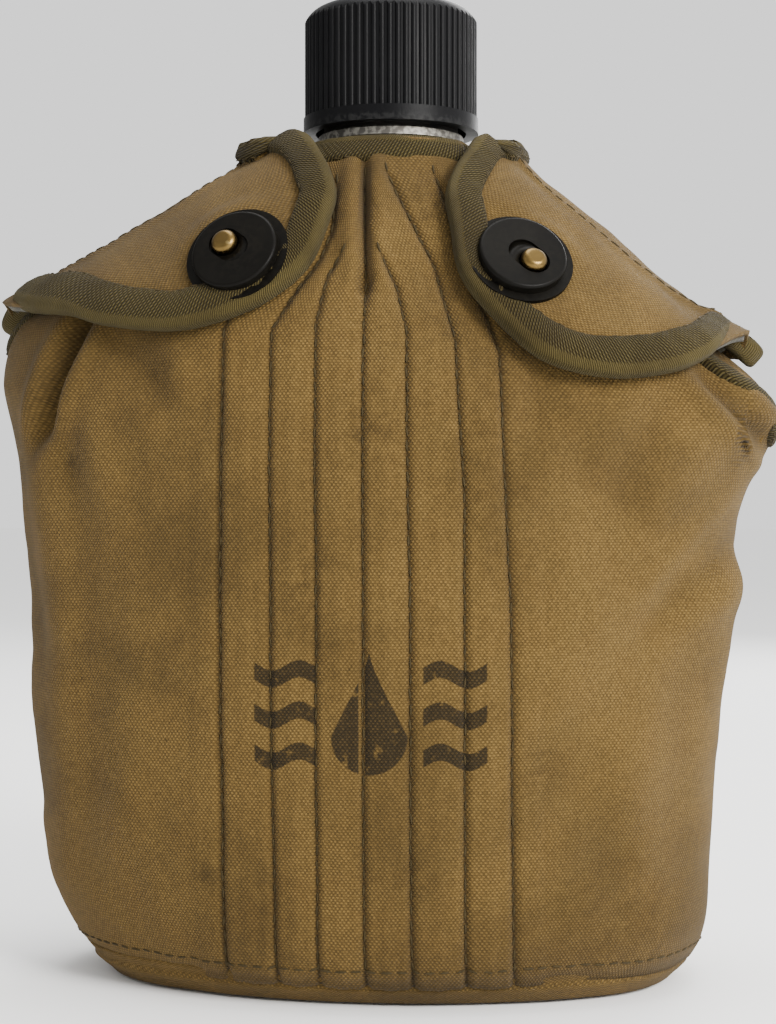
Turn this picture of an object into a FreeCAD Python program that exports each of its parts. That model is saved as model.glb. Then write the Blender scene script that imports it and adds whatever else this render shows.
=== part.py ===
import FreeCAD, Part
import math
import os
from collections import namedtuple

Vec = FreeCAD.Vector

# Frame: origin under the neck axis on the surface the canteen stands on, front -Y, up +Z.
RIGHT, BACKWARD, UP = Vec(1, 0, 0), Vec(0, 1, 0), Vec(0, 0, 1)

# Driving dimensions, mm -----------------------------------------------------------------

# Bottle: a kidney-shaped flask of two pressed shells under a threaded neck
BOTTLE_HALF_WIDTH = 69.0
BOTTLE_FRONT = 39.5
BOTTLE_BACK = 34.0
BOTTLE_HOLLOW = 6.0
BOTTLE_WALL = 0.9
SHOULDER_ROOT_R = 16.8
BOTTLE_SEAM_Z = 92.0
SEAM_GAP = 0.2

# Cloth layers, counted outwards from the surface that the cover is cut to
LINING_START = 0.9
FELT_THICKNESS = 1.4
CANVAS_THICKNESS = 1.2
TAPE_THICKNESS = 0.6
LAYER_GAP = 0.2
BODY_GAP = 0.3
TAPE_WIDTH = 6.0
COVER_EASE = 8.5

# Heights
NECK_Z = 179.0
BOTTOM_SEAM_Z = 5.0
COLLAR_Z = 180.0
BACK_COLLAR_Z = 177.5

# Neck and cap, with a round-shouldered thread
NECK_OUTER_R = 14.8
NECK_BORE_R = 12.2
NECK_TOP_Z = 203.0
NECK_FLANGE_R = 16.0
NECK_ROOT_HEIGHT = 2.5
LUG_EYE_R = 1.5
LUG_WIRE_R = 0.6
LUG_FOOT = 1.0
THREAD_PITCH = 5.0
THREAD_DEPTH = 1.35
THREAD_ROOT_WIDTH = 1.8
THREAD_CREST_WIDTH = 1.0
THREAD_TURNS = 1.6
THREAD_START_Z = 190.0
THREAD_RADIAL_GAP = 0.45
CAP_RIB_R = 19.0
CAP_BAND_R = 19.3
CAP_SKIRT_Z = 184.2
CAP_BAND_HEIGHT = 3.3
CAP_TOP_Z = 211.8
CAP_ROUND = 5.5
CAP_RIBS = 68
RIB_GROOVE_DEPTH = 0.45
GASKET_THICKNESS = 2.2

# Snap fasteners: a post on the front panel and a round socket on each flap
POST_R = 1.7
POST_HEAD_R = 2.7
POST_FLANGE_R = 5.5
POST_FLANGE_THICKNESS = 0.6
POST_HEAD_HEIGHT = 1.9
SOCKET_RING_R = 11.0
SOCKET_DISC_R = 9.2
SOCKET_RING_THICKNESS = 0.9
SOCKET_HEIGHT = 3.0
SOCKET_WALL = 0.6
SOCKET_OFF_CENTRE = 2.8
SOCKET_SLOT_TRAVEL = 2.6
SOCKET_SPRING_WIRE_R = 0.35
CLINCH_R = 8.6
CLINCH_THICKNESS = 0.6

# Belt hook of bent wire in a sewn loop of webbing
HOOK_WIRE_R = 1.6
HOOK_HALF_WIDTH = 12.0
HOOK_DROP = 30.0
HOOK_BEND_R = 5.5
HOOK_PRONG = 15.0
WEBBING_HALF_WIDTH = 9.0
WEBBING_THICKNESS = 1.5
WEBBING_LOW_Z = 98.0
LOOP_Z = 143.0
LOOP_HOLE_CLEARANCE = 0.4
LOOP_WALL = 2.6

# Flap hinges
HINGE_Y = -7.0
HINGE_STANDOFF = 0.4

REACH = 130.0
END_ARC_SHARE = 0.88

# One row for each level of the flask: height, width, front, back and hollow as shares of the
# bottle's sizes, then the slack cover around it in mm: lean, side, front and back.
LEVELS = [
    (0.000, 0.720, 0.470, 0.520, 0.67, 0.0, 3.6, 3.5, 2.3),
    (0.012, 0.820, 0.690, 0.720, 0.75, -0.5, 2.9, 2.5, 1.8),
    (0.043, 0.904, 0.890, 0.884, 0.83, -1.5, 2.0, 1.5, 1.5),
    (0.100, 0.925, 0.956, 0.959, 0.92, -3.0, 3.4, 1.5, 1.7),
    (0.230, 0.945, 1.000, 1.000, 1.00, -4.0, 4.4, 1.8, 2.0),
    (0.460, 0.980, 1.000, 1.000, 1.00, -3.5, 5.0, 2.0, 2.0),
    (0.605, 0.985, 0.969, 0.971, 0.92, -3.0, 7.3, 1.7, 2.0),
    (0.673, 0.980, 0.907, 0.901, 0.83, -2.0, 9.0, 1.6, 2.2),
    (0.720, 0.943, 0.837, 0.826, 0.70, -4.0, 9.3, 1.5, 2.3),
    (0.760, 0.856, 0.749, 0.727, 0.57, -7.5, 9.3, 1.5, 2.5),
    (0.790, 0.741, 0.678, 0.663, 0.47, -9.0, 10.5, 1.6, 2.5),
    (0.815, 0.626, 0.599, 0.593, 0.33, -8.2, 9.9, 1.6, 2.3),
    (0.857, 0.473, 0.476, 0.488, 0.13, -6.4, 7.9, 1.6, 1.8),
    (0.903, 0.295, 0.317, 0.337, -0.03, -4.4, 5.8, 1.5, 1.4),
    (0.948, 0.119, 0.150, 0.151, -0.23, -2.4, 3.6, 1.3, 1.1),
    (0.977, 0.038, 0.053, 0.058, -0.33, -0.8, 1.8, 1.0, 0.8),
]
MIDDLE_BACK_SLACK = 1.0

# Front-view outlines as (share of the cover's half width, share of the shoulder's height)
FLAP_EDGES = {
    "left": [(-0.31, 1.07), (-0.155, 0.90), (-0.12, 0.62), (-0.20, 0.27), (-0.48, 0.03),
             (-0.78, 0.09), (-1.20, 0.36)],
    "right": [(0.32, 1.07), (0.20, 0.90), (0.18, 0.60), (0.25, 0.20), (0.45, -0.17),
              (0.72, -0.20), (1.20, 0.10)],
}
ARMHOLE_EDGES = {
    "left": [(-0.22, 1.024), (-0.27, 0.91), (-0.40, 0.79), (-0.63, 0.55), (-0.86, 0.32),
             (-1.10, 0.18), (-1.50, 0.12)],
    "right": [(0.22, 1.024), (0.27, 0.90), (0.40, 0.69), (0.59, 0.38), (0.78, 0.05),
              (0.92, -0.15), (1.10, -0.30), (1.50, -0.40)],
}
SIDE_SEAM_Y = 2.0
SIDE_SEAM_SHARES = {"left": (0.05, 0.22), "right": (-0.45, -0.21)}
POST_PLACES = {"left": (-0.355, 0.315), "right": (0.377, 0.195)}

# Worked-out sizes -----------------------------------------------------------------------


def cloth_stack(start):
    """Ranges of the inner tape, felt, canvas and outer tape of a panel that starts there."""
    ranges = {}
    layers = (("inner", TAPE_THICKNESS), ("felt", FELT_THICKNESS),
              ("canvas", CANVAS_THICKNESS), ("outer", TAPE_THICKNESS))
    for name, thickness in layers:
        ranges[name] = (start, start + thickness)
        start += thickness + LAYER_GAP
    return ranges


PANEL = cloth_stack(LINING_START)
FLAP = cloth_stack(PANEL["outer"][1] + BODY_GAP)
FLOOR_Z = PANEL["canvas"][1]
COVER_HALF_WIDTH = BOTTLE_HALF_WIDTH + COVER_EASE
SHOULDER_Z = FLOOR_Z + 0.76 * (NECK_Z - FLOOR_Z)
CAP_BORE_R = NECK_OUTER_R + THREAD_DEPTH + THREAD_RADIAL_GAP
CAP_CEILING_Z = NECK_TOP_Z + GASKET_THICKNESS + 2 * BODY_GAP

# Kidney sections ------------------------------------------------------------------------

Section = namedtuple("Section", "z lean half front back middle")


def bottle_levels():
    levels = []
    for height, width, front, back, hollow, *_ in LEVELS:
        z = FLOOR_Z + height * (NECK_Z - FLOOR_Z)
        half = SHOULDER_ROOT_R + width * (BOTTLE_HALF_WIDTH - SHOULDER_ROOT_R)
        ahead = SHOULDER_ROOT_R + front * (BOTTLE_FRONT - SHOULDER_ROOT_R)
        behind = SHOULDER_ROOT_R + back * (BOTTLE_BACK - SHOULDER_ROOT_R)
        levels.append(Section(z, 0.0, half, ahead, behind, behind - hollow * BOTTLE_HOLLOW))
    return levels


def cover_levels():
    levels = []
    for flask, row in zip(bottle_levels(), LEVELS):
        lean, side, front, back = row[5:]
        levels.append(Section(flask.z, lean, flask.half + side, flask.front + front,
                              flask.back + back, flask.middle + MIDDLE_BACK_SLACK))
    return levels


def slopes(levels, index):
    """How each size of a section changes with height, weighted by the nearer neighbour."""
    if index == len(levels) - 1:
        pairs = [(levels[index - 1], levels[index], 1.0)]
    elif index == 0:
        pairs = [(levels[0], levels[1], 1.0)]
    else:
        low, here, high = levels[index - 1:index + 2]
        span = high.z - low.z
        pairs = [(low, here, (high.z - here.z) / span), (here, high, (here.z - low.z) / span)]
    return [sum(weight * (b[k] - a[k]) / (b.z - a.z) for a, b, weight in pairs)
            for k in range(2, 6)]


def grown(levels, index, offset):
    """The section moved outwards along the surface normal by the offset."""
    level = levels[index]
    if index == 0:
        return level._replace(z=level.z - offset)
    rates = slopes(levels, index)
    outward = [1 / math.hypot(1, rate) for rate in rates]
    rise = [-rate / math.hypot(1, rate) for rate in rates]
    lift = sum(rise[:3]) / 3
    sizes = [size + offset * out + offset * (lift - up) * rate
             for size, out, up, rate in zip(level[2:], outward, rise, rates)]
    return Section(level.z + offset * lift, level.lean, *sizes)


def arc_between(centre_x, centre_y, radius, start, end, z):
    points = [Vec(centre_x + radius * math.cos(a), centre_y + radius * math.sin(a), z)
              for a in (start, (start + end) / 2, end)]
    return Part.Arc(*points).toShape()


def kidney_wire(section):
    """Four tangent arcs: a full front, two round ends, and a back that is hollow or full."""
    z, lean, half, front, back, middle = section
    end_r = END_ARC_SHARE * (front + back) / 2
    end_y = back - end_r
    end_x = half - end_r
    front_r = (end_x**2 + (front + end_y)**2 - end_r**2) / (2 * (front + end_y - end_r))
    front_y = front_r - front
    bulge = middle - end_y - end_r
    back_r = (end_x**2 + (middle - end_y)**2 - end_r**2) / (2 * bulge)
    back_y = middle - back_r
    front_angle = math.atan2(end_y - front_y, end_x)
    back_angle = math.atan2(end_y - back_y, end_x)
    if back_r > 0:
        end_angle, back_end = back_angle, math.pi - back_angle
    else:
        end_angle, back_end = back_angle + math.pi, -math.pi - back_angle
    ahead = arc_between(lean, front_y, front_r, -math.pi - front_angle, front_angle, z)
    right = arc_between(lean + end_x, end_y, end_r, front_angle, end_angle, z)
    behind = arc_between(lean, back_y, abs(back_r), back_angle, back_end, z)
    left = arc_between(lean - end_x, end_y, end_r, math.pi - end_angle, math.pi - front_angle, z)
    return Part.Wire([ahead, right, behind, left])


def round_wire(radius, z):
    """A circle in four arcs, which a kidney section can run into."""
    turns = [-2.3, -0.84, 0.84, 2.3, 2 * math.pi - 2.3]
    arcs = [arc_between(0, 0, radius, a, b, z) for a, b in zip(turns, turns[1:])]
    return Part.Wire(arcs)


_lofts = {}


def cover_form(offset):
    """The solid inside the cover's surface at that offset, from the floor up past the neck."""
    key = round(offset, 3)
    if key not in _lofts:
        levels = cover_levels()
        wires = [kidney_wire(grown(levels, i, offset)) for i in range(len(levels))]
        collar_r = SHOULDER_ROOT_R + 0.3 + offset
        if offset <= FLAP["felt"][0]:
            wires.append(round_wire(collar_r + 0.2, NECK_Z + 0.3 * offset))
        wires.append(round_wire(collar_r, NECK_Z + 5))
        wires.append(round_wire(collar_r, NECK_Z + 10))
        _lofts[key] = Part.makeLoft(wires, True, False)
    return _lofts[key]


def bottle_form(wall):
    """The flask's outer shape, or its inner one for a wall above zero."""
    levels = bottle_levels()
    wires = [kidney_wire(grown(levels, i, -wall)) for i in range(len(levels))]
    wires.append(round_wire(SHOULDER_ROOT_R - wall, NECK_Z))
    wires.append(round_wire(NECK_FLANGE_R - wall, NECK_Z + NECK_ROOT_HEIGHT))
    return Part.makeLoft(wires, True, False)


# Cutting shapes -------------------------------------------------------------------------


def place(point):
    """A front-view point from its shares, as a vector in the plane y = 0."""
    share_x, share_z = point
    return Vec(share_x * COVER_HALF_WIDTH, 0, SHOULDER_Z + share_z * (NECK_Z - SHOULDER_Z))


def edge_points(shares):
    """Evenly taken points along the smooth curve through an outline's points."""
    curve = Part.BSplineCurve()
    curve.interpolate([place(p) for p in shares])
    return curve.toShape().discretize(40)


def shifted(points, distance):
    """The line moved to its left in the front view by that distance."""
    moved = []
    for i, point in enumerate(points):
        along = points[min(i + 1, len(points) - 1)] - points[max(i - 1, 0)]
        along.normalize()
        moved.append(point + Vec(-along.z, 0, along.x) * distance)
    return moved


def smooth(points):
    curve = Part.BSplineCurve()
    curve.approximate(Points=points, Tolerance=0.05)
    return curve.toShape()


def slab(edges):
    """A prism through the whole depth over closed front-view edges."""
    face = Part.Face(Part.Wire(Part.sortEdges(edges)[0]))
    face.translate(Vec(0, -REACH, 0))
    return face.extrude(Vec(0, 2 * REACH, 0))


def strip(points, inner, outer):
    """A prism along an edge, from inner to outer distance on its left."""
    one, two = smooth(shifted(points, inner)), smooth(shifted(points, outer))
    ends = [Part.makeLine(one.Vertexes[i].Point, two.Vertexes[i].Point) for i in (0, -1)]
    return slab([one, two] + ends)


def box(x0, x1, y0, y1, z0, z1):
    return Part.makeBox(x1 - x0, y1 - y0, z1 - z0, Vec(x0, y0, z0))


def side_split(ahead):
    """All that lies in front of the side seams, or behind them and over the shoulder."""
    sign = -1 if ahead else 1
    sides = []
    for side, (low, high) in SIDE_SEAM_SHARES.items():
        low_z, high_z = place((0, low)).z, place((0, high)).z
        seam = SIDE_SEAM_Y + sign * LAYER_GAP
        fold = HINGE_Y - 3 if ahead else HINGE_Y + BODY_GAP
        points = [Vec(0, seam, -1), Vec(0, seam, low_z), Vec(0, fold, high_z),
                  Vec(0, fold, 2 * NECK_Z), Vec(0, sign * REACH, 2 * NECK_Z),
                  Vec(0, sign * REACH, -1)]
        face = Part.Face(Part.makePolygon(points + points[:1]))
        sides.append(face.extrude(RIGHT * (-REACH if side == "left" else REACH)))
    return sides[0].fuse(sides[1]).removeSplitter()


def layer(region, span):
    """The part of a region that lies in one layer of cloth."""
    return region.common(cover_form(span[1])).cut(cover_form(span[0]))


def binding(edge, region, stack):
    """Folded tape along an edge: both leaves and the turn outside the cloth."""
    whole = layer(strip(edge, -TAPE_WIDTH, TAPE_THICKNESS + LAYER_GAP).common(region),
                  (stack["inner"][0], stack["outer"][1]))
    cloth = layer(strip(edge, -2 * TAPE_WIDTH, LAYER_GAP),
                  (stack["inner"][1], stack["outer"][0]))
    return whole.cut(cloth)


def largest(shape):
    return max(shape.Solids, key=lambda solid: solid.Volume)


def tube_along(points_and_bends, radius):
    """A round wire swept along straight runs and tangent arcs."""
    path = Part.Wire(points_and_bends)
    start = path.Edges[0]
    ring = Part.Wire(Part.Circle(start.valueAt(start.FirstParameter),
                                 start.tangentAt(start.FirstParameter), radius).toShape())
    return path.makePipeShell([ring], True, True)


def turned(profile, z_axis_angle=360):
    """A solid turned about the neck axis from (radius, height) points."""
    points = [Vec(r, 0, z) for r, z in profile]
    face = Part.Face(Part.makePolygon(points + points[:1]))
    return face.revolve(Vec(0, 0, 0), UP, z_axis_angle)


def cylinder(radius, height, base, axis=UP):
    return Part.makeCylinder(radius, height, base, axis)


# Bottle and cap -------------------------------------------------------------------------


def thread_ridge(root_r, crest_r, start_z):
    """One helical ridge of trapezium section; its root is sunk into the wall it stands on."""
    sink = 0.3 if crest_r > root_r else -0.3
    half_root, half_crest = THREAD_ROOT_WIDTH / 2, THREAD_CREST_WIDTH / 2
    corners = [Vec(root_r - sink, 0, start_z - half_root), Vec(crest_r, 0, start_z - half_crest),
               Vec(crest_r, 0, start_z + half_crest), Vec(root_r - sink, 0, start_z + half_root)]
    profile = Part.makePolygon(corners + corners[:1])
    helix = Part.makeHelix(THREAD_PITCH, THREAD_TURNS * THREAD_PITCH, root_r)
    helix.translate(UP * start_z)
    return Part.Wire(helix).makePipeShell([profile], True, True)


def bottle_nodes():
    shell = bottle_form(0).cut(bottle_form(BOTTLE_WALL))
    shell = shell.cut(cylinder(NECK_BORE_R, 40, Vec(0, 0, NECK_Z - 6)))
    low = shell.common(box(-REACH, REACH, -REACH, REACH, 0, BOTTLE_SEAM_Z))
    high = shell.common(box(-REACH, REACH, -REACH, REACH, BOTTLE_SEAM_Z + SEAM_GAP, 2 * NECK_Z))
    base_z = NECK_Z + NECK_ROOT_HEIGHT + LAYER_GAP
    neck = turned([(NECK_BORE_R, base_z), (NECK_FLANGE_R, base_z), (NECK_FLANGE_R, base_z + 1.6),
                   (NECK_OUTER_R, base_z + 2.8), (NECK_OUTER_R, NECK_TOP_Z - 0.6),
                   (NECK_OUTER_R - 0.6, NECK_TOP_Z), (NECK_BORE_R + 0.6, NECK_TOP_Z),
                   (NECK_BORE_R, NECK_TOP_Z - 0.6)])
    ridge = thread_ridge(NECK_OUTER_R, NECK_OUTER_R + THREAD_DEPTH, THREAD_START_Z)
    lug = chain_lug()
    return {"bottle_lower_shell": largest(low), "bottle_upper_shell": largest(high),
            "bottle_neck": neck.fuse(ridge).removeSplitter(), "chain_lug": lug}


def chain_lug():
    """A small eye at the back of the neck's root, where a retaining chain is made fast."""
    eye = Part.makeTorus(LUG_EYE_R, LUG_WIRE_R, Vec(0, 0, 0), RIGHT)
    foot = cylinder(LUG_WIRE_R, LUG_FOOT, Vec(0, -LUG_EYE_R - LUG_FOOT, 0), BACKWARD)
    lug = eye.fuse(foot)
    lug.translate(Vec(0, NECK_FLANGE_R + LAYER_GAP + LUG_FOOT + LUG_EYE_R,
                      NECK_Z + NECK_ROOT_HEIGHT - 0.3))
    return lug


def rib_outline():
    """The cap's ribbed section: round-topped ribs with a groove between each pair."""
    edges = []
    step = 2 * math.pi / CAP_RIBS
    groove_r = CAP_RIB_R - RIB_GROOVE_DEPTH

    def at(radius, turn):
        return Vec(radius * math.cos(turn * step), radius * math.sin(turn * step), 0)

    for rib in range(CAP_RIBS):
        edges.append(Part.Arc(at(groove_r, rib - 0.36), at(CAP_RIB_R, rib),
                              at(groove_r, rib + 0.36)).toShape())
        edges.append(Part.makeLine(at(groove_r, rib + 0.36), at(groove_r, rib + 0.64)))
    return Part.Wire(edges)


def cap_nodes():
    band_top = CAP_SKIRT_Z + CAP_BAND_HEIGHT
    ribs = Part.Face(rib_outline()).extrude(UP * (CAP_TOP_Z - band_top + 0.5))
    ribs.translate(UP * (band_top - 0.5))
    round_r = CAP_RIB_R + 0.5
    crown = turned([(0, band_top - 1), (round_r, band_top - 1), (round_r, CAP_TOP_Z), (0, CAP_TOP_Z)])
    rim = [edge for edge in crown.Edges if abs(edge.CenterOfMass.z - CAP_TOP_Z) < 0.01
           and edge.Length > 10 and edge.Curve.TypeId == "Part::GeomCircle"]
    crown = crown.makeFillet(CAP_ROUND, rim)
    band = cylinder(CAP_BAND_R, CAP_BAND_HEIGHT, Vec(0, 0, CAP_SKIRT_Z))
    shell = ribs.common(crown).fuse(band)
    shell = shell.cut(cylinder(CAP_BORE_R, CAP_CEILING_Z - CAP_SKIRT_Z + 1, Vec(0, 0, CAP_SKIRT_Z - 1)))
    inner_crest = NECK_OUTER_R + THREAD_RADIAL_GAP
    start_z = THREAD_START_Z - THREAD_PITCH / 2
    ridge = thread_ridge(CAP_BORE_R, inner_crest, start_z)
    gasket = cylinder(CAP_BORE_R - BODY_GAP, GASKET_THICKNESS, Vec(0, 0, NECK_TOP_Z + BODY_GAP))
    return {"cap_shell": shell.fuse(ridge), "cap_gasket": gasket}


# Cover ----------------------------------------------------------------------------------


def front_outline():
    left, right = (edge_points(ARMHOLE_EDGES[side]) for side in ("left", "right"))
    left_edge, right_edge = smooth(left), smooth(right)
    low_z = BOTTOM_SEAM_Z + LAYER_GAP
    path = [left[-1], Vec(left[-1].x, 0, low_z), Vec(right[-1].x, 0, low_z), right[-1]]
    sides = [Part.makeLine(a, b) for a, b in zip(path, path[1:])]
    return slab([left_edge, right_edge, Part.makeLine(left[0], right[0])] + sides)


def panel_nodes():
    ahead = front_outline().common(side_split(True))
    low_z = BOTTOM_SEAM_Z + LAYER_GAP
    behind = side_split(False).common(box(-REACH, REACH, -REACH, REACH, low_z, BACK_COLLAR_Z))
    under = box(-REACH, REACH, -REACH, REACH, -1, BOTTOM_SEAM_Z)
    nodes = {}
    for cloth in ("felt", "canvas"):
        for name, region in (("front", ahead), ("back", behind), ("bottom", under)):
            nodes[cloth + "_" + name] = layer(region, PANEL[cloth])
    return nodes


def binding_nodes():
    ahead, behind = side_split(True), side_split(False)
    nodes = {}
    mouth = [place(ARMHOLE_EDGES[side][0]) for side in ("left", "right")]
    collar_edge = [mouth[0] + (mouth[1] - mouth[0]) * (i / 8) for i in range(9)]
    nodes["collar_binding"] = binding(collar_edge, ahead, PANEL)
    for side in ("left", "right"):
        edge = edge_points(ARMHOLE_EDGES[side])
        if side == "left":
            edge = edge[::-1]
        region = ahead.cut(box(-REACH, REACH, -REACH, REACH, COLLAR_Z - TAPE_WIDTH - 1.6, 2 * NECK_Z))
        nodes["armhole_binding_" + side] = largest(binding(edge, region, PANEL))
    top = BACK_COLLAR_Z
    edge = [Vec(-40 + 10 * i, 0, top) for i in range(9)]
    nodes["back_neck_binding"] = largest(binding(edge, behind, PANEL))
    return nodes


def hinge_line(side):
    """Two points on a flap's fold axis, just outside the shoulder ridge."""
    levels = cover_levels()
    ends = []
    for index in (10, 14):
        ridge = grown(levels, index, FLAP["outer"][1] - LAYER_GAP + HINGE_STANDOFF - TAPE_THICKNESS)
        sign = -1 if side == "left" else 1
        ends.append(Vec(ridge.lean + sign * ridge.half, HINGE_Y, ridge.z))
    return ends


def front_point(offset, x, z):
    """Where the cover's surface at that offset lies in the front view, and its normal."""
    form = cover_form(offset)
    inside = form.common(Part.makeLine(Vec(x, -REACH, z), Vec(x, 0, z)))
    point = min((v.Point for v in inside.Vertexes), key=lambda p: p.y)
    face = min(form.Faces, key=lambda f: f.distToShape(Part.Vertex(point))[0])
    normal = face.normalAt(*face.Surface.parameter(point))
    if normal.y > 0:
        normal = normal * -1
    return point, normal


def fastener_frame(side):
    """Foot point of a snap's post on the cover's surface, its axis, and its way out."""
    spot = place(POST_PLACES[side])
    foot, axis = front_point(0.0, spot.x, spot.z)
    start, end = hinge_line(side)
    fold = end - start
    fold.normalize()
    arm = foot - start
    arm = arm - fold * arm.dot(fold)
    travel = fold.cross(arm)
    if travel.dot(axis) < 0:
        travel = travel * -1
    travel.normalize()
    slide = travel - axis * travel.dot(axis)
    slide.normalize()
    return foot, axis, slide * -1


def slotted(radius, travel, height, base, axis, along):
    """A round hole drawn out along one direction."""
    hole = cylinder(radius, height, base, axis)
    far = cylinder(radius, height, base + along * travel, axis)
    across = axis.cross(along)
    corners = [base + across * radius, base - across * radius,
               base - across * radius + along * travel, base + across * radius + along * travel]
    bridge = Part.Face(Part.makePolygon(corners + corners[:1])).extrude(axis * height)
    return hole.fuse([far, bridge]).removeSplitter()


def post_nodes(side, foot, axis):
    canvas_top = PANEL["canvas"][1] + 0.1
    head_z = FLAP["canvas"][1] + SOCKET_HEIGHT - 0.4
    flange = cylinder(POST_FLANGE_R, POST_FLANGE_THICKNESS, foot + axis * canvas_top, axis)
    shank_start = PANEL["inner"][0] - 0.5
    shank = cylinder(POST_R, head_z - shank_start + 0.2, foot + axis * shank_start, axis)
    head = cylinder(POST_HEAD_R, POST_HEAD_HEIGHT, foot + axis * head_z, axis)
    far_rim = [e for e in head.Edges if e.Curve.TypeId == "Part::GeomCircle"
               and (e.CenterOfMass - foot).dot(axis) > head_z + 1]
    head = head.makeFillet(POST_HEAD_HEIGHT - 0.5, far_rim)
    washer = cylinder(POST_FLANGE_R, POST_FLANGE_THICKNESS, foot + axis * (shank_start + 0.1), axis)
    washer = washer.cut(cylinder(POST_R + 0.1, 3, foot + axis * (shank_start - 1), axis))
    return {"stud_" + side: flange.fuse([shank, head]),
            "stud_washer_" + side: washer}


def socket_nodes(side, foot, axis, slide):
    """A flap's round socket: base ring, hollow disc, wire spring inside, clinch plate under."""
    top = FLAP["canvas"][1] + 0.1
    centre = foot + slide * SOCKET_OFF_CENTRE
    reach = POST_HEAD_R + 0.6
    hole = slotted(reach, SOCKET_SLOT_TRAVEL, 20, foot, axis, slide)
    ring = cylinder(SOCKET_RING_R, SOCKET_RING_THICKNESS, centre + axis * top, axis).cut(hole)
    disc_base = top + SOCKET_RING_THICKNESS + 0.05
    disc_height = SOCKET_HEIGHT - SOCKET_RING_THICKNESS
    disc = cylinder(SOCKET_DISC_R, disc_height, centre + axis * disc_base, axis)
    rim = [e for e in disc.Edges if e.Curve.TypeId == "Part::GeomCircle"
           and (e.CenterOfMass - centre).dot(axis) > disc_base + 1]
    disc = disc.makeFillet(0.7, rim)
    hollow = cylinder(SOCKET_DISC_R - SOCKET_WALL, disc_height - SOCKET_WALL,
                      centre + axis * (disc_base - 0.01), axis)
    disc = disc.cut(hollow).cut(hole)
    across = axis.cross(slide)
    spring_z = disc_base + (disc_height - SOCKET_WALL) / 2
    spring_half = reach + SOCKET_SPRING_WIRE_R + 0.3
    bend = centre + slide * 2.2 + axis * spring_z
    start = centre - slide * 6.0 + axis * spring_z
    legs = [(start + across * s, bend + across * s) for s in (-spring_half, spring_half)]
    arc = Part.Arc(legs[0][1], bend + slide * spring_half, legs[1][1]).toShape()
    path = [Part.makeLine(*legs[0]), arc, Part.makeLine(legs[1][1], legs[1][0])]
    spring = tube_along(path, SOCKET_SPRING_WIRE_R)
    clinch_z = FLAP["inner"][1] + 0.1
    clinch = cylinder(CLINCH_R, CLINCH_THICKNESS, centre + axis * clinch_z, axis).cut(hole)
    return {"socket_ring_" + side: ring, "socket_disc_" + side: disc,
            "socket_spring_" + side: spring, "socket_clinch_" + side: clinch}


def flap_region(side, edge):
    far_x = edge[-1].x
    corners = [edge[0], Vec(edge[0].x, 0, 2 * NECK_Z), Vec(far_x, 0, 2 * NECK_Z), edge[-1]]
    lines = [Part.makeLine(a, b) for a, b in zip(corners, corners[1:])]
    high_z = place((0, 1.07)).z
    keep = box(-REACH, REACH, -REACH, HINGE_Y, 0, high_z)
    return slab([smooth(edge)] + lines).common(keep)


def flap_nodes(side, foot, axis, slide):
    edge = edge_points(FLAP_EDGES[side])
    region = flap_region(side, edge)
    centre = foot + slide * SOCKET_OFF_CENTRE
    hole = slotted(POST_HEAD_R + 0.8, SOCKET_SLOT_TRAVEL, 20, foot, axis, slide)
    recess = cylinder(CLINCH_R + 0.3, 20, centre, axis)
    seat = cylinder(SOCKET_RING_R + 0.1, 10, centre + axis * FLAP["canvas"][1], axis)
    line = edge if side == "left" else edge[::-1]
    keep = box(-REACH, REACH, -REACH, HINGE_Y, 0, place((0, 1.07)).z)
    tape = largest(binding(line, keep, FLAP).cut(seat).cut(recess))
    cloth = region.common(box(-REACH, REACH, -REACH, REACH, 0, NECK_Z))
    return {"flap_canvas_" + side: layer(cloth, FLAP["canvas"]).cut(hole).cut(seat),
            "flap_felt_" + side: layer(cloth, FLAP["felt"]).cut(recess),
            "flap_binding_" + side: tape}


def drilled(nodes, foot, axis):
    """Holes for a post's shank through the front panel's canvas and felt."""
    hole = cylinder(POST_R + 0.15, 12, foot - axis * 3, axis)
    for name in ("canvas_front", "felt_front"):
        nodes[name] = nodes[name].cut(hole)


# Belt hook ------------------------------------------------------------------------------


def loop_centre():
    """Centre of the webbing loop that holds the hook's bar, behind the strap."""
    form = cover_form(PANEL["outer"][0] + WEBBING_THICKNESS)
    inside = form.common(Part.makeLine(Vec(0, 0, LOOP_Z), Vec(0, REACH, LOOP_Z)))
    surface = max(v.Point.y for v in inside.Vertexes)
    return Vec(0, surface + HOOK_WIRE_R + LOOP_HOLE_CLEARANCE + LOOP_WALL - 1.0, LOOP_Z)


def hanger_webbing():
    centre = loop_centre()
    half = WEBBING_HALF_WIDTH
    start = PANEL["outer"][0]
    region = box(-half, half, 0, REACH, WEBBING_LOW_Z, LOOP_Z + 3)
    strap = layer(region, (start, start + WEBBING_THICKNESS))
    hole_r = HOOK_WIRE_R + LOOP_HOLE_CLEARANCE
    base = centre - RIGHT * half
    loop = cylinder(hole_r + LOOP_WALL, 2 * half, base, RIGHT)
    hole = cylinder(hole_r, 2 * half + 2, base - RIGHT, RIGHT)
    return strap.fuse(loop).cut(hole)


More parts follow.
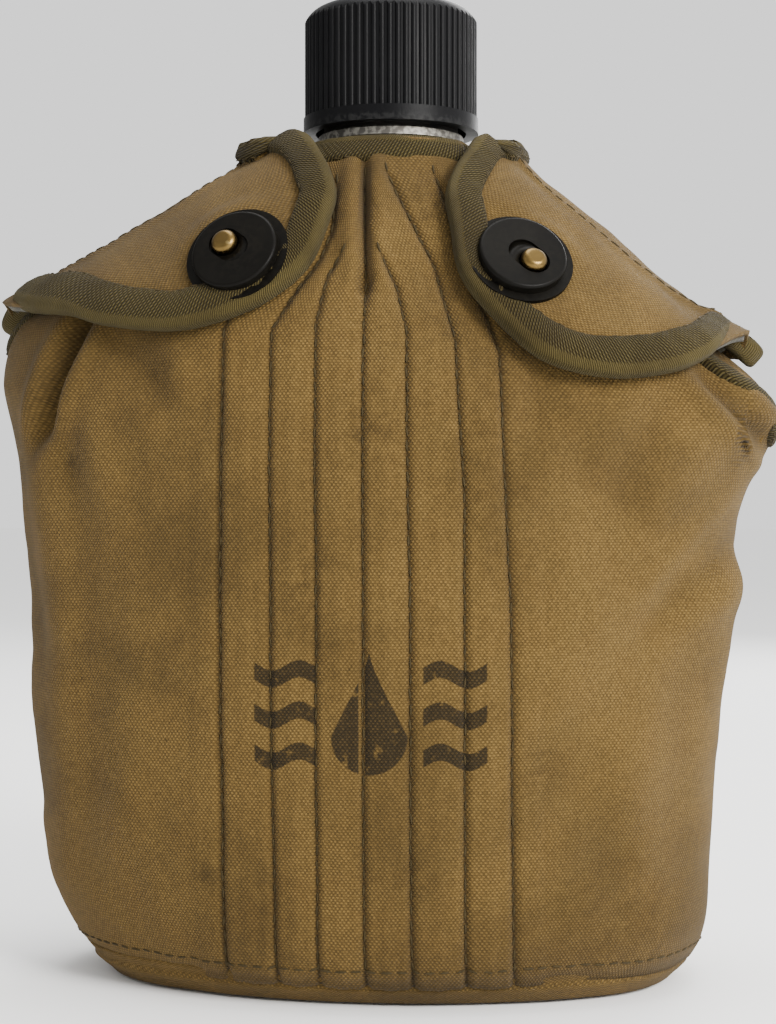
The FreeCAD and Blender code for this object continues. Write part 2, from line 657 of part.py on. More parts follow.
def belt_hook():
    """One wire: a bar through the loop, two arms down, and two prongs turned up outside."""
    centre = loop_centre()
    corner_r = 3.0
    half, drop, bend = HOOK_HALF_WIDTH, HOOK_DROP, HOOK_BEND_R

    def at(x, y, z):
        return centre + Vec(x, y, z)

    edges = []
    turn = corner_r * (1 - math.sqrt(0.5))
    for s in (-1, 1):
        side = [Part.makeLine(at(s * half, 2 * bend, -drop + HOOK_PRONG), at(s * half, 2 * bend, -drop)),
                Part.Arc(at(s * half, 2 * bend, -drop), at(s * half, bend, -drop - bend),
                         at(s * half, 0, -drop)).toShape(),
                Part.makeLine(at(s * half, 0, -drop), at(s * half, 0, -corner_r)),
                Part.Arc(at(s * half, 0, -corner_r), at(s * (half - turn), 0, -turn),
                         at(s * (half - corner_r), 0, 0)).toShape()]
        edges.append(side)
    bar = Part.makeLine(at(-half + corner_r, 0, 0), at(half - corner_r, 0, 0))
    path = Part.Wire(edges[0] + [bar] + [edge.reversed() for edge in edges[1][::-1]])
    ring = Part.Wire(Part.Circle(at(-half, 2 * bend, -drop + HOOK_PRONG), UP * -1,
                                 HOOK_WIRE_R).toShape())
    return path.makePipeShell([ring], True, False)


# Build ----------------------------------------------------------------------------------


def main():
    os.makedirs("parts", exist_ok=True)
    nodes = bottle_nodes()
    nodes.update(cap_nodes())
    nodes.update(panel_nodes())
    nodes.update(binding_nodes())
    for side in ("left", "right"):
        foot, axis, slide = fastener_frame(side)
        drilled(nodes, foot, axis)
        nodes.update(post_nodes(side, foot, axis))
        nodes.update(flap_nodes(side, foot, axis, slide))
        nodes.update(socket_nodes(side, foot, axis, slide))
        ends = [tuple(round(c, 2) for c in point) for point in hinge_line(side)]
        print(side, "flap folds about", *ends, "post at", [round(c, 2) for c in foot],
              "axis", [round(c, 3) for c in axis])
    nodes["hanger_webbing"] = hanger_webbing()
    nodes["belt_hook"] = belt_hook()
    print("belt hook bar at", [round(c, 2) for c in loop_centre()])
    for name, shape in nodes.items():
        if not shape.isValid() or not shape.Solids:
            print("check", name, shape.isValid(), len(shape.Solids))
        shape.exportStep(os.path.join("parts", name + ".step"))
        print(name, len(shape.Solids), "solid", round(shape.Volume), "mm3")


main()
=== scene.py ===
import math
import random

import bmesh
import bpy
import numpy as np
from mathutils import Matrix, Vector, noise
from mathutils.bvhtree import BVHTree


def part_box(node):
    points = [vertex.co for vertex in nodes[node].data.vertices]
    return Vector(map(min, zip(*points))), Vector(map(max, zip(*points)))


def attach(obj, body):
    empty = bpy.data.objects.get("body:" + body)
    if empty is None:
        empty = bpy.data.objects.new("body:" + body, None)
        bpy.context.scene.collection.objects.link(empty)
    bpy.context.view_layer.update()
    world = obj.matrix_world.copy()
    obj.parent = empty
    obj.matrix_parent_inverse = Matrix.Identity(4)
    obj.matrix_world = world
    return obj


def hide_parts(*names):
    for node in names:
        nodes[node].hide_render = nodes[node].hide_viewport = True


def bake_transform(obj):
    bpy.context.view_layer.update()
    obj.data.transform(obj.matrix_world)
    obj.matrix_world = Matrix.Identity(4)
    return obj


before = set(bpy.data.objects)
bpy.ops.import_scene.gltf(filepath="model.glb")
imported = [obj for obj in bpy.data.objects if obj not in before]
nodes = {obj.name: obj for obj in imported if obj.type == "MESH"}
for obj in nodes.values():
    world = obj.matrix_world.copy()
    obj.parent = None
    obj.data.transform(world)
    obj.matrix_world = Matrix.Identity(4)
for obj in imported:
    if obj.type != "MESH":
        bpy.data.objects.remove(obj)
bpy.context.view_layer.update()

mm = 0.001


# camera, floor and light

camera = {"distance": 450 * mm, "turn": 6, "height": 101 * mm, "lens": 71.6, "shift": -0.0029}
studio = {"floor": 12.0, "floorColour": (0.95, 0.95, 0.94, 1), "dim": 0.25,
          "bright": 2.4, "backdrop": 1.3}


def setTheCamera():
    turn = math.radians(camera["turn"])
    data = bpy.data.cameras.new("camera")
    data.lens = camera["lens"]
    data.shift_x = camera["shift"]
    data.clip_start = 0.01
    eye = bpy.data.objects.new("camera", data)
    eye.location = (camera["distance"] * math.sin(turn), -camera["distance"] * math.cos(turn),
                    camera["height"])
    eye.rotation_euler = (math.pi / 2, 0, turn)
    bpy.context.collection.objects.link(eye)
    bpy.context.scene.camera = eye


def addLight(name, place, size, power, colour=(1, 1, 1)):
    data = bpy.data.lights.new(name, "AREA")
    data.size = size
    data.energy = power
    data.color = colour
    lamp = bpy.data.objects.new(name, data)
    lamp.location = place
    lamp.rotation_euler = (Vector((0, 0, 0.1)) - Vector(place)).to_track_quat("-Z", "Y").to_euler()
    bpy.context.collection.objects.link(lamp)


def setTheStudio():
    bm = bmesh.new()
    bmesh.ops.create_grid(bm, x_segments=1, y_segments=1, size=studio["floor"])
    mesh = bpy.data.meshes.new("floor")
    bm.to_mesh(mesh)
    bm.free()
    floor = bpy.data.objects.new("floor", mesh)
    bpy.context.collection.objects.link(floor)
    paint = bpy.data.materials.new("floorPaint")
    paint.use_nodes = True
    shader = paint.node_tree.nodes["Principled BSDF"]
    shader.inputs["Base Color"].default_value = studio["floorColour"]
    shader.inputs["Roughness"].default_value = 0.9
    mesh.materials.append(paint)
    world = bpy.data.worlds.new("studio")
    world.use_nodes = True
    make = world.node_tree.nodes.new
    join = world.node_tree.links.new
    place, split, side, seen, pick = (make("ShaderNode" + kind) for kind in (
        "TexCoord", "SeparateXYZ", "MapRange", "LightPath", "Mix"))
    join(place.outputs["Generated"], split.inputs[0])
    join(split.outputs[0], side.inputs[0])
    side.inputs[1].default_value, side.inputs[2].default_value = -1, 1
    side.inputs[3].default_value, side.inputs[4].default_value = studio["dim"], studio["bright"]
    pick.data_type = "FLOAT"
    join(seen.outputs["Is Camera Ray"], pick.inputs[0])
    join(side.outputs[0], pick.inputs[2])
    pick.inputs[3].default_value = studio["backdrop"]
    join(pick.outputs[0], world.node_tree.nodes["Background"].inputs["Strength"])
    world.node_tree.nodes["Background"].inputs["Color"].default_value = (1, 1, 1, 1)
    bpy.context.scene.world = world
    addLight("key", (0.75, -0.75, 0.6), 0.45, 26, (1, 0.98, 0.95))
    addLight("fill", (-0.8, -0.5, 0.5), 0.8, 1.5)
    addLight("top", (0.0, 0.1, 1.1), 0.6, 8)
    addLight("back", (0.3, 0.9, 0.6), 0.6, 8)


setTheCamera()
setTheStudio()
print("camera and studio set")


# small helpers for shader trees

def nodeMaker(tree):
    def make(kind, inputs=None, **settings):
        node = tree.nodes.new(kind)
        for name, value in settings.items():
            setattr(node, name, value)
        for key, value in (inputs or {}).items():
            if isinstance(value, bpy.types.NodeSocket):
                tree.links.new(value, node.inputs[key])
            else:
                node.inputs[key].default_value = value
        return node
    return make


def newGroup(name, takes, gives):
    group = bpy.data.node_groups.new(name, "ShaderNodeTree")
    for socket, (kind, value) in takes.items():
        made = group.interface.new_socket(socket, in_out="INPUT", socket_type="NodeSocket" + kind)
        if value is not None:
            made.default_value = value
    for socket, kind in gives.items():
        group.interface.new_socket(socket, in_out="OUTPUT", socket_type="NodeSocket" + kind)
    make = nodeMaker(group)
    return group, make, make("NodeGroupInput"), make("NodeGroupOutput")


def useGroup(tree, group, **values):
    make = nodeMaker(tree)
    node = make("ShaderNodeGroup", node_tree=group)
    for name, value in values.items():
        if isinstance(value, bpy.types.NodeSocket):
            tree.links.new(value, node.inputs[name])
        else:
            node.inputs[name].default_value = value
    return node


def calc(make, operation, first, second=None, third=None, clamp=False):
    node = make("ShaderNodeMath", operation=operation, use_clamp=clamp)
    for index, value in enumerate((first, second, third)):
        if value is None:
            continue
        if isinstance(value, bpy.types.NodeSocket):
            node.id_data.links.new(value, node.inputs[index])
        else:
            node.inputs[index].default_value = value
    return node.outputs[0]


def mixColour(make, factor, first, second, blend="MIX"):
    node = make("ShaderNodeMix", data_type="RGBA", blend_type=blend)
    for index, value in ((0, factor), (6, first), (7, second)):
        if isinstance(value, bpy.types.NodeSocket):
            node.id_data.links.new(value, node.inputs[index])
        else:
            node.inputs[index].default_value = value
    return node.outputs[2]


def ramp(make, value, low, high, smooth=True):
    node = make("ShaderNodeMapRange", {0: value, 1: low, 2: high},
                interpolation_type="SMOOTHSTEP" if smooth else "LINEAR")
    return node.outputs[0]


# effects that several materials share

def makeWeave():
    # plain weave: rounded nubs in brick order, a dark gap between them, threads that wander; the Nub output
    # is the brightness that paints shade into the gaps
    group, make, takes, gives = newGroup(
        "plainWeave", {"Vector": ("Vector", None), "Across": ("Float", 2350.0),
                       "Along": ("Float", 1560.0)},
        {"Height": "Float", "Nub": "Float", "Thread": "Float"})
    wander = make("ShaderNodeTexNoise", {"Vector": takes.outputs["Vector"], "Scale": 160.0,
                                         "Detail": 2.0}, noise_dimensions="3D")
    shift = calc(make, "MULTIPLY_ADD", wander.outputs[0], 1.2, -0.6)
    split = make("ShaderNodeSeparateXYZ", {"Vector": takes.outputs["Vector"]})
    u = calc(make, "MULTIPLY_ADD", split.outputs[0], takes.outputs["Across"], shift)
    v = calc(make, "MULTIPLY_ADD", split.outputs[1], takes.outputs["Along"],
             calc(make, "MULTIPLY", shift, -0.8))
    waveU = calc(make, "SINE", calc(make, "MULTIPLY", u, math.pi))
    waveV = calc(make, "SINE", calc(make, "MULTIPLY", v, math.pi))
    nub = calc(make, "MULTIPLY_ADD", calc(make, "MULTIPLY", waveU, waveV), 0.5, 0.5)
    rows = calc(make, "ABSOLUTE", waveV)
    cell = make("ShaderNodeTexWhiteNoise", noise_dimensions="2D")
    cellAt = make("ShaderNodeCombineXYZ", {0: calc(make, "FLOOR", u), 1: calc(make, "FLOOR", v)})
    cell.id_data.links.new(cellAt.outputs[0], cell.inputs["Vector"])
    uneven = calc(make, "MULTIPLY_ADD", cell.outputs["Value"], 0.5, 0.72)
    height = calc(make, "MULTIPLY", calc(make, "MULTIPLY_ADD", rows, 0.18,
                                         calc(make, "MULTIPLY", nub, 0.82)), uneven)
    gives.id_data.links.new(height, gives.inputs["Height"])
    shown = calc(make, "MULTIPLY_ADD", rows, 0.42, calc(make, "MULTIPLY", nub, 0.62))
    gives.id_data.links.new(calc(make, "MULTIPLY", shown, uneven), gives.inputs["Nub"])
    gives.id_data.links.new(cell.outputs["Value"], gives.inputs["Thread"])
    return group


def makeGrime():
    # old dirt: broad uneven staining, and small dark specks
    group, make, takes, gives = newGroup(
        "grime", {"Scale": ("Float", 22.0), "Speck": ("Float", 0.62)},
        {"Stain": "Float", "Specks": "Float", "Mottle": "Float"})
    where = make("ShaderNodeTexCoord").outputs["Object"]
    broad = make("ShaderNodeTexNoise", {"Vector": where, "Scale": takes.outputs["Scale"],
                                        "Detail": 5.0, "Roughness": 0.6, "Distortion": 0.4})
    gives.id_data.links.new(ramp(make, broad.outputs[0], 0.38, 0.68), gives.inputs["Stain"])
    fine = make("ShaderNodeTexNoise", {"Vector": where, "Scale": 700.0, "Detail": 3.0,
                                       "Roughness": 0.7})
    patch = make("ShaderNodeTexNoise", {"Vector": where, "Scale": 60.0, "Detail": 2.0})
    speckAndShade = calc(make, "MULTIPLY", ramp(make, fine.outputs[0], takes.outputs["Speck"], 0.75),
                 ramp(make, patch.outputs[0], 0.55, 0.72))
    gives.id_data.links.new(speckAndShade, gives.inputs["Specks"])
    mottle = make("ShaderNodeTexNoise", {"Vector": where, "Scale": 130.0, "Detail": 4.0,
                                         "Roughness": 0.65})
    gives.id_data.links.new(mottle.outputs[0], gives.inputs["Mottle"])
    return group


def makeEdgeWearAndHighlight():
    # bare metal or dust where an edge stands out; on the cap the same mask paints a highlight on the rib
    # crests
    group, make, takes, gives = newGroup(
        "edgeWearAndHighlight", {"Amount": ("Float", 0.5)}, {"Mask": "Float"})
    plain = make("ShaderNodeNewGeometry").outputs["Pointiness"]
    edge = ramp(make, plain, 0.51, 0.57)
    breakUp = make("ShaderNodeTexNoise", {"Vector": make("ShaderNodeTexCoord").outputs["Object"],
                                          "Scale": 900.0, "Detail": 4.0})
    worn = calc(make, "MULTIPLY", edge, ramp(make, breakUp.outputs[0], 0.42, 0.6))
    gives.id_data.links.new(calc(make, "MULTIPLY", worn, takes.outputs["Amount"]),
                            gives.inputs["Mask"])
    return group


weaveGroup = makeWeave()
grimeGroup = makeGrime()
wearAndHighlightGroup = makeEdgeWearAndHighlight()


def newMaterial(name, roughness=0.6, metallic=0.0, **constants):
    paint = bpy.data.materials.new(name)
    paint.use_nodes = True
    shader = paint.node_tree.nodes["Principled BSDF"]
    shader.inputs["Roughness"].default_value = roughness
    shader.inputs["Metallic"].default_value = metallic
    for socket, value in constants.items():
        shader.inputs[socket.replace("_", " ")].default_value = value
    return paint, paint.node_tree, nodeMaker(paint.node_tree), shader


# the speck colour serves real specks and stains and also the painted shade in folds, grooves and seams
canvas = {"light": (0.148, 0.094, 0.0262, 1), "dark": (0.0110, 0.0060, 0.0011, 1),
          "stain": (0.022, 0.0138, 0.0038, 1), "speckAndShade": (0.0085, 0.005, 0.0015, 1),
          "brown": (0.088, 0.038, 0.0075, 1), "ink": (0.0048, 0.0040, 0.0024, 1)}


def makeCanvas(name, inked=False, across=2350.0, along=1750.0):
    paint, tree, make, shader = newMaterial(name, 0.95, Sheen_Weight=0.03, Sheen_Roughness=0.6,
                                            Specular_IOR_Level=0.10)
    where = make("ShaderNodeUVMap", uv_map="cloth").outputs[0]
    weave = useGroup(tree, weaveGroup, Vector=where, Across=across, Along=along)
    grime = useGroup(tree, grimeGroup, Scale=20.0)
    # painted shade in the weave's gaps: dark between the threads, light on the nubs
    base = mixColour(make, calc(make, "POWER", weave.outputs["Nub"], 0.9), canvas["dark"],
                     canvas["light"])
    base = mixColour(make, calc(make, "MULTIPLY", grime.outputs["Mottle"], 0.35), base,
                     mixColour(make, weave.outputs["Nub"], canvas["dark"], canvas["brown"]))
    base = mixColour(make, calc(make, "MULTIPLY", grime.outputs["Stain"], 0.5), base,
                     canvas["stain"])
    base = mixColour(make, calc(make, "MULTIPLY", grime.outputs["Specks"], 0.75), base,
                     canvas["speckAndShade"])
    # the cloth's float layer darkens it: painted shade in folds, sewn grooves and seams, and real smudges
    shadeAndDirt = make("ShaderNodeAttribute", attribute_name="shadeAndDirt").outputs["Fac"]
    base = mixColour(make, shadeAndDirt, base, canvas["speckAndShade"])
    if inked:
        base = mixColour(make, inkStamp(make, weave.outputs["Nub"]), base, canvas["ink"])
    tree.links.new(base, shader.inputs["Base Color"])
    relief = make("ShaderNodeBump", {"Strength": 0.75, "Distance": 0.00028,
                                     "Height": weave.outputs["Height"]})
    tree.links.new(relief.outputs[0], shader.inputs["Normal"])
    return paint


stamp = {"centre": (0.5 * mm, 60.5 * mm), "radius": 7.6 * mm, "barGap": 8.2 * mm,
         "barFrom": 10.5 * mm, "barTo": 23.5 * mm, "barThick": 1.9 * mm, "bridge": 0.5 * mm}


def inkStamp(make, nub):
    # a faded stencil: a water drop between two sets of three wave bars
    where = make("ShaderNodeSeparateXYZ",
                 {"Vector": make("ShaderNodeTexCoord").outputs["Object"]})
    cx, cz = stamp["centre"]
    x = calc(make, "SUBTRACT", where.outputs[0], cx)
    z = calc(make, "SUBTRACT", where.outputs[2], cz)
    radius = stamp["radius"]
    rise = calc(make, "DIVIDE", calc(make, "ADD", z, 4.2 * mm), radius)
    narrow = calc(make, "MULTIPLY_ADD", calc(make, "MAXIMUM", rise, 0.0), -0.44, 1.0)
    wide = calc(make, "DIVIDE", calc(make, "ABSOLUTE", x),
                calc(make, "MULTIPLY", calc(make, "MAXIMUM", narrow, 0.02), radius))
    tall = calc(make, "MULTIPLY", rise,
                calc(make, "MULTIPLY_ADD", calc(make, "GREATER_THAN", rise, 0.0), -0.55, 1.0))
    drop = calc(make, "ADD", calc(make, "POWER", wide, 2.0), calc(make, "POWER", tall, 2.0))
    inside = ramp(make, drop, 1.06, 0.94)
    bridge = ramp(make, calc(make, "ABSOLUTE", calc(make, "ADD", x, 1.5 * mm)),
                  stamp["bridge"], 1.5 * stamp["bridge"])
    mask = calc(make, "MULTIPLY", inside, bridge)
    far = calc(make, "ABSOLUTE", x)
    ends = calc(make, "MULTIPLY",
                ramp(make, far, stamp["barFrom"], stamp["barFrom"] + 0.4 * mm),
                ramp(make, far, stamp["barTo"], stamp["barTo"] - 0.4 * mm))
    swell = calc(make, "MULTIPLY", calc(make, "SINE", calc(make, "MULTIPLY", far, 560.0)),
                 1.1 * mm)
    for bar in (-1, 0, 1):
        high = calc(make, "ABSOLUTE", calc(make, "SUBTRACT", calc(
            make, "SUBTRACT", z, bar * stamp["barGap"]), swell))
        wave = calc(make, "MULTIPLY", ends, ramp(make, high, stamp["barThick"],
                                                 stamp["barThick"] - 0.35 * mm))
        mask = calc(make, "MAXIMUM", mask, wave)
    patchy = make("ShaderNodeTexNoise", {"Vector": make("ShaderNodeTexCoord").outputs["Object"],
                                         "Scale": 420.0, "Detail": 4.0})
    faded = calc(make, "MULTIPLY", ramp(make, patchy.outputs[0], 0.24, 0.42), 0.88)
    front = calc(make, "LESS_THAN", where.outputs[1], 0.0)
    mask = calc(make, "MULTIPLY", calc(make, "MULTIPLY", mask, faded), front)
    return calc(make, "MULTIPLY", mask, calc(make, "MULTIPLY_ADD", nub, -0.18, 1.0))


tape = {"light": (0.088, 0.068, 0.022, 1), "dark": (0.0085, 0.0060, 0.0014, 1),
        "rib": 0.66 * mm}


def makeTape():
    # ribbed tape: slanting cords over most of the width, a close twill at its folded edge
    paint, tree, make, shader = newMaterial("tapeCloth", 0.95, Sheen_Weight=0.03,
                                            Specular_IOR_Level=0.08)
    where = make("ShaderNodeUVMap", uv_map="cloth").outputs[0]
    split = make("ShaderNodeSeparateXYZ", {"Vector": where})
    wander = make("ShaderNodeTexNoise", {"Vector": where, "Scale": 300.0, "Detail": 2.0})
    slant = calc(make, "MULTIPLY_ADD", split.outputs[1], 0.55, split.outputs[0])
    along = calc(make, "MULTIPLY_ADD", slant, 2 * math.pi / tape["rib"],
                 calc(make, "MULTIPLY", wander.outputs[0], 2.5))
    cord = calc(make, "MULTIPLY_ADD", calc(make, "SINE", along), 0.5, 0.5)
    across = calc(make, "MULTIPLY_ADD",
                  calc(make, "SINE", calc(make, "MULTIPLY_ADD", split.outputs[1],
                                          2 * math.pi / (0.8 * mm),
                                          calc(make, "MULTIPLY", along, 0.5))), 0.5, 0.5)
    ribs = calc(make, "MULTIPLY", cord, calc(make, "MULTIPLY_ADD", across, 0.7, 0.3))
    fine = calc(make, "MULTIPLY_ADD",
                calc(make, "SINE", calc(make, "MULTIPLY", slant, 2 * math.pi / (0.45 * mm))),
                0.25, 0.5)
    edge = ramp(make, split.outputs[1], 1.2 * mm, 2.0 * mm)
    height = calc(make, "MULTIPLY_ADD", calc(make, "SUBTRACT", ribs, fine), edge, fine)
    grime = useGroup(tree, grimeGroup, Scale=35.0)
    # painted shade in the grooves between the cords: the colour follows the rib height
    base = mixColour(make, height, tape["dark"], tape["light"])
    base = mixColour(make, calc(make, "MULTIPLY", grime.outputs["Stain"], 0.45), base,
                     canvas["speckAndShade"])
    tree.links.new(base, shader.inputs["Base Color"])
    relief = make("ShaderNodeBump", {"Strength": 0.9, "Distance": 0.00045, "Height": height})
    tree.links.new(relief.outputs[0], shader.inputs["Normal"])
    return paint


def makeThread():
    paint, tree, make, shader = newMaterial("sewingThread", 0.8, Specular_IOR_Level=0.2)
    where = make("ShaderNodeTexCoord").outputs["Object"]
    tone = make("ShaderNodeTexNoise", {"Vector": where, "Scale": 500.0, "Detail": 3.0})
    base = mixColour(make, tone.outputs[0], (0.012, 0.008, 0.002, 1), (0.042, 0.029, 0.008, 1))
    tree.links.new(base, shader.inputs["Base Color"])
    return paint


def makeFelt():
    paint, tree, make, shader = newMaterial("woolFelt", 1.0, Sheen_Weight=0.1,
                                            Sheen_Roughness=0.7)
    where = make("ShaderNodeTexCoord").outputs["Object"]
    fibre = make("ShaderNodeTexNoise", {"Vector": where, "Scale": 1400.0, "Detail": 6.0,
                                        "Roughness": 0.75, "Distortion": 1.2})
    clump = make("ShaderNodeTexNoise", {"Vector": where, "Scale": 120.0, "Detail": 3.0})
    base = mixColour(make, fibre.outputs[0], (0.020, 0.017, 0.008, 1), (0.085, 0.074, 0.038, 1))
    base = mixColour(make, ramp(make, clump.outputs[0], 0.4, 0.75), base, (0.022, 0.018, 0.008, 1))
    tree.links.new(base, shader.inputs["Base Color"])
    relief = make("ShaderNodeBump", {"Strength": 0.8, "Distance": 0.0005,
                                     "Height": fibre.outputs[0]})
    tree.links.new(relief.outputs[0], shader.inputs["Normal"])
    return paint


def makeCapPlastic():
    paint, tree, make, shader = newMaterial("capPlastic", 0.42, Specular_IOR_Level=0.08)
    where = make("ShaderNodeTexCoord").outputs["Object"]
    wearAndHighlight = useGroup(tree, wearAndHighlightGroup, Amount=0.25)
    cloud = make("ShaderNodeTexNoise", {"Vector": where, "Scale": 90.0, "Detail": 5.0})
    grain = make("ShaderNodeTexNoise", {"Vector": where, "Scale": 1600.0, "Detail": 3.0})
    base = mixColour(make, cloud.outputs[0], (0.0015, 0.0015, 0.0018, 1), (0.004, 0.004, 0.0045, 1))
    # painted highlight on the cap's rib crests, from the edge mask
    base = mixColour(make, wearAndHighlight.outputs["Mask"], base, (0.03, 0.03, 0.029, 1))
    tree.links.new(base, shader.inputs["Base Color"])
    rough = calc(make, "MULTIPLY_ADD", cloud.outputs[0], 0.3, 0.28)
    tree.links.new(rough, shader.inputs["Roughness"])
    relief = make("ShaderNodeBump", {"Strength": 0.25, "Distance": 0.0001,
                                     "Height": grain.outputs[0]})
    tree.links.new(relief.outputs[0], shader.inputs["Normal"])
    return paint


def makeMetal(name, light, dark, roughness, brush=(1, 1, 12), worn=(0.5, 0.48, 0.42, 1),
              wearAmount=0.4, metallic=1.0, shine=0.5):
    paint, tree, make, shader = newMaterial(name, roughness, metallic,
                                            Specular_IOR_Level=shine)
    where = make("ShaderNodeTexCoord").outputs["Object"]
    drawn = make("ShaderNodeMapping", {"Vector": where, "Scale": brush})
    scratches = make("ShaderNodeTexNoise", {"Vector": drawn.outputs[0], "Scale": 420.0,
                                            "Detail": 6.0, "Roughness": 0.7})
    cloud = make("ShaderNodeTexNoise", {"Vector": where, "Scale": 70.0, "Detail": 4.0})
    base = mixColour(make, cloud.outputs[0], dark, light)
    wearAndHighlight = useGroup(tree, wearAndHighlightGroup, Amount=wearAmount)
    base = mixColour(make, wearAndHighlight.outputs["Mask"], base, worn)
    tree.links.new(base, shader.inputs["Base Color"])
    rough = calc(make, "ADD", calc(make, "MULTIPLY_ADD", scratches.outputs[0], 0.3,
                                   roughness - 0.15),
                 calc(make, "MULTIPLY", cloud.outputs[0], 0.1), clamp=True)
    tree.links.new(rough, shader.inputs["Roughness"])
    relief = make("ShaderNodeBump", {"Strength": 0.2, "Distance": 0.00008,
                                     "Height": scratches.outputs[0]})
    tree.links.new(relief.outputs[0], shader.inputs["Normal"])
    return paint


def makeRubber():
    paint, tree, make, shader = newMaterial("gasketRubber", 0.75)
    grain = make("ShaderNodeTexNoise", {"Vector": make("ShaderNodeTexCoord").outputs["Object"],
                                        "Scale": 900.0, "Detail": 4.0})
    base = mixColour(make, grain.outputs[0], (0.02, 0.02, 0.02, 1), (0.06, 0.058, 0.055, 1))
    tree.links.new(base, shader.inputs["Base Color"])
    return paint


finishes = {
    "canvasFront": makeCanvas("canvasFront", inked=True),
    "canvas": makeCanvas("canvas"),
    "canvasFine": makeCanvas("canvasFine", across=2700.0, along=2300.0),
    "tape": makeTape(),
    "webbing": makeCanvas("webbing", across=1700.0, along=2300.0),
    "thread": makeThread(),
    "felt": makeFelt(),
    "cap": makeCapPlastic(),
    "steel": makeMetal("bottleSteel", (0.15, 0.14, 0.125, 1), (0.05, 0.047, 0.042, 1), 0.5),
    "flask": makeMetal("flaskSteel", (0.085, 0.08, 0.07, 1), (0.03, 0.028, 0.024, 1), 0.6),
    "brass": makeMetal("agedBrass", (0.20, 0.13, 0.042, 1), (0.065, 0.042, 0.014, 1), 0.28,
                       worn=(0.35, 0.26, 0.11, 1)),
    "enamel": makeMetal("blackEnamel", (0.0045, 0.004, 0.003, 1), (0.0015, 0.0013, 0.001, 1), 0.36,
                        worn=(0.03, 0.026, 0.018, 1), wearAmount=0.05, metallic=0.0,
                        shine=0.06),
    "wire": makeMetal("hookWire", (0.22, 0.19, 0.14, 1), (0.08, 0.066, 0.045, 1), 0.45),
    "springWire": makeMetal("springWire", (0.6, 0.6, 0.58, 1), (0.4, 0.4, 0.4, 1), 0.3),
    "rubber": makeRubber(),
}
cadFinishes = {
    "cap_shell": "cap", "cap_gasket": "rubber", "bottle_lower_shell": "flask",
    "bottle_upper_shell": "flask", "bottle_neck": "steel", "chain_lug": "steel",
    "belt_hook": "wire",
}
for side in ("left", "right"):
    cadFinishes.update({"stud_" + side: "brass", "stud_washer_" + side: "brass",
                        "socket_ring_" + side: "enamel", "socket_disc_" + side: "enamel",
                        "socket_clinch_" + side: "enamel", "socket_spring_" + side: "springWire"})
for nodeName, finish in cadFinishes.items():
    mesh = nodes[nodeName].data
    mesh.materials.clear()
    mesh.materials.append(finishes[finish])
print("materials made")


girthHeight = 85 * mm  # where the panels' width round the cover is taken
# half of each CAD sheet's whole surface, its edges included
sheetAreas = {name: sum(face.area for face in nodes[name].data.polygons) / 2 for name in (
    "canvas_front", "canvas_back", "canvas_bottom", "felt_front", "felt_back", "felt_bottom",
    "flap_canvas_left", "flap_canvas_right", "flap_felt_left", "flap_felt_right")}

# the cover's outer surface, read off the CAD panels: distance from the middle by turn and height
# turn is counted from the front, positive to the right
survey = {"turnStep": 1.5, "heightStep": 1 * mm, "low": 1.5 * mm, "high": 182 * mm,
          "middle": (-2 * mm, 0 * mm), "reach": 0.2}


def treeOf(*names):
    return [BVHTree.FromPolygons([v.co[:] for v in nodes[n].data.vertices],
                                 [p.vertices[:] for p in nodes[n].data.polygons]) for n in names]


def castIn(trees, turn, height):
    direction = Vector((math.sin(turn), -math.cos(turn), 0))
    start = Vector((*survey["middle"], height)) + direction * survey["reach"]
    found = 0
    for tree in trees:
        spot = tree.ray_cast(start, -direction)[0]
        if spot is not None:
            found = max(found, (spot - Vector((*survey["middle"], height))).dot(direction))
    return found


def readCover():
    trees = treeOf("canvas_front", "canvas_back", "canvas_bottom")
    turns = np.radians(np.arange(-180, 180 + survey["turnStep"], survey["turnStep"]))
    heights = np.arange(survey["low"], survey["high"], survey["heightStep"])
    reach = np.zeros((len(heights), len(turns)))
    for j, height in enumerate(heights):
        for i, turn in enumerate(turns):
            reach[j, i] = castIn(trees, turn, height)
    for i in range(len(turns)):
        good = np.nonzero(reach[:, i] > 0.012)[0]
        reach[:, i] = np.interp(np.arange(len(heights)), good, reach[good, i])
    for _ in range(3):
        ring = np.concatenate([reach[:, -3:-1], reach, reach[:, 1:3]], axis=1)
        reach = (ring[:, :-4] + 2 * ring[:, 1:-3] + 2 * ring[:, 2:-2] + 2 * ring[:, 3:-1] + ring[:, 4:]) / 8
        tall = np.concatenate([reach[:1], reach, reach[-1:]])
        reach = (tall[:-2] + 2 * tall[1:-1] + tall[2:]) / 4
    return turns, heights, reach


turns, heights, reach = readCover()
plainReach = reach.copy()
# the shoulders' corners stand out a little further, as worn cloth does
ears = {-1: (129 * mm, 17 * mm, 4.6 * mm), 1: (121 * mm, 13 * mm, 5.2 * mm)}
for sign, (earHeight, earSpread, earPull) in ears.items():
    reach = reach + earPull * np.exp(-((heights[:, None] - earHeight) / earSpread) ** 2) * np.exp(
        -((turns[None, :] - sign * math.pi / 2) / math.radians(20)) ** 2)


def coverRadius(turn, height, reach=reach):
    column = (turn - turns[0]) / (turns[1] - turns[0])
    row = (height - heights[0]) / (heights[1] - heights[0])
    i = min(max(int(column), 0), len(turns) - 2)
    j = min(max(int(row), 0), len(heights) - 2)
    a, b = column - i, min(max(row - j, 0), 1)
    low = reach[j, i] * (1 - a) + reach[j, i + 1] * a
    high = reach[j + 1, i] * (1 - a) + reach[j + 1, i + 1] * a
    return low * (1 - b) + high * b


def coverPoint(turn, height, lift=0.0):
    radius = coverRadius(turn, height)
    out = Vector((math.sin(turn), -math.cos(turn), 0))
    spot = Vector((survey["middle"][0], survey["middle"][1], height)) + out * radius
    if lift:
        spot = spot + coverNormal(turn, height) * lift
    return spot


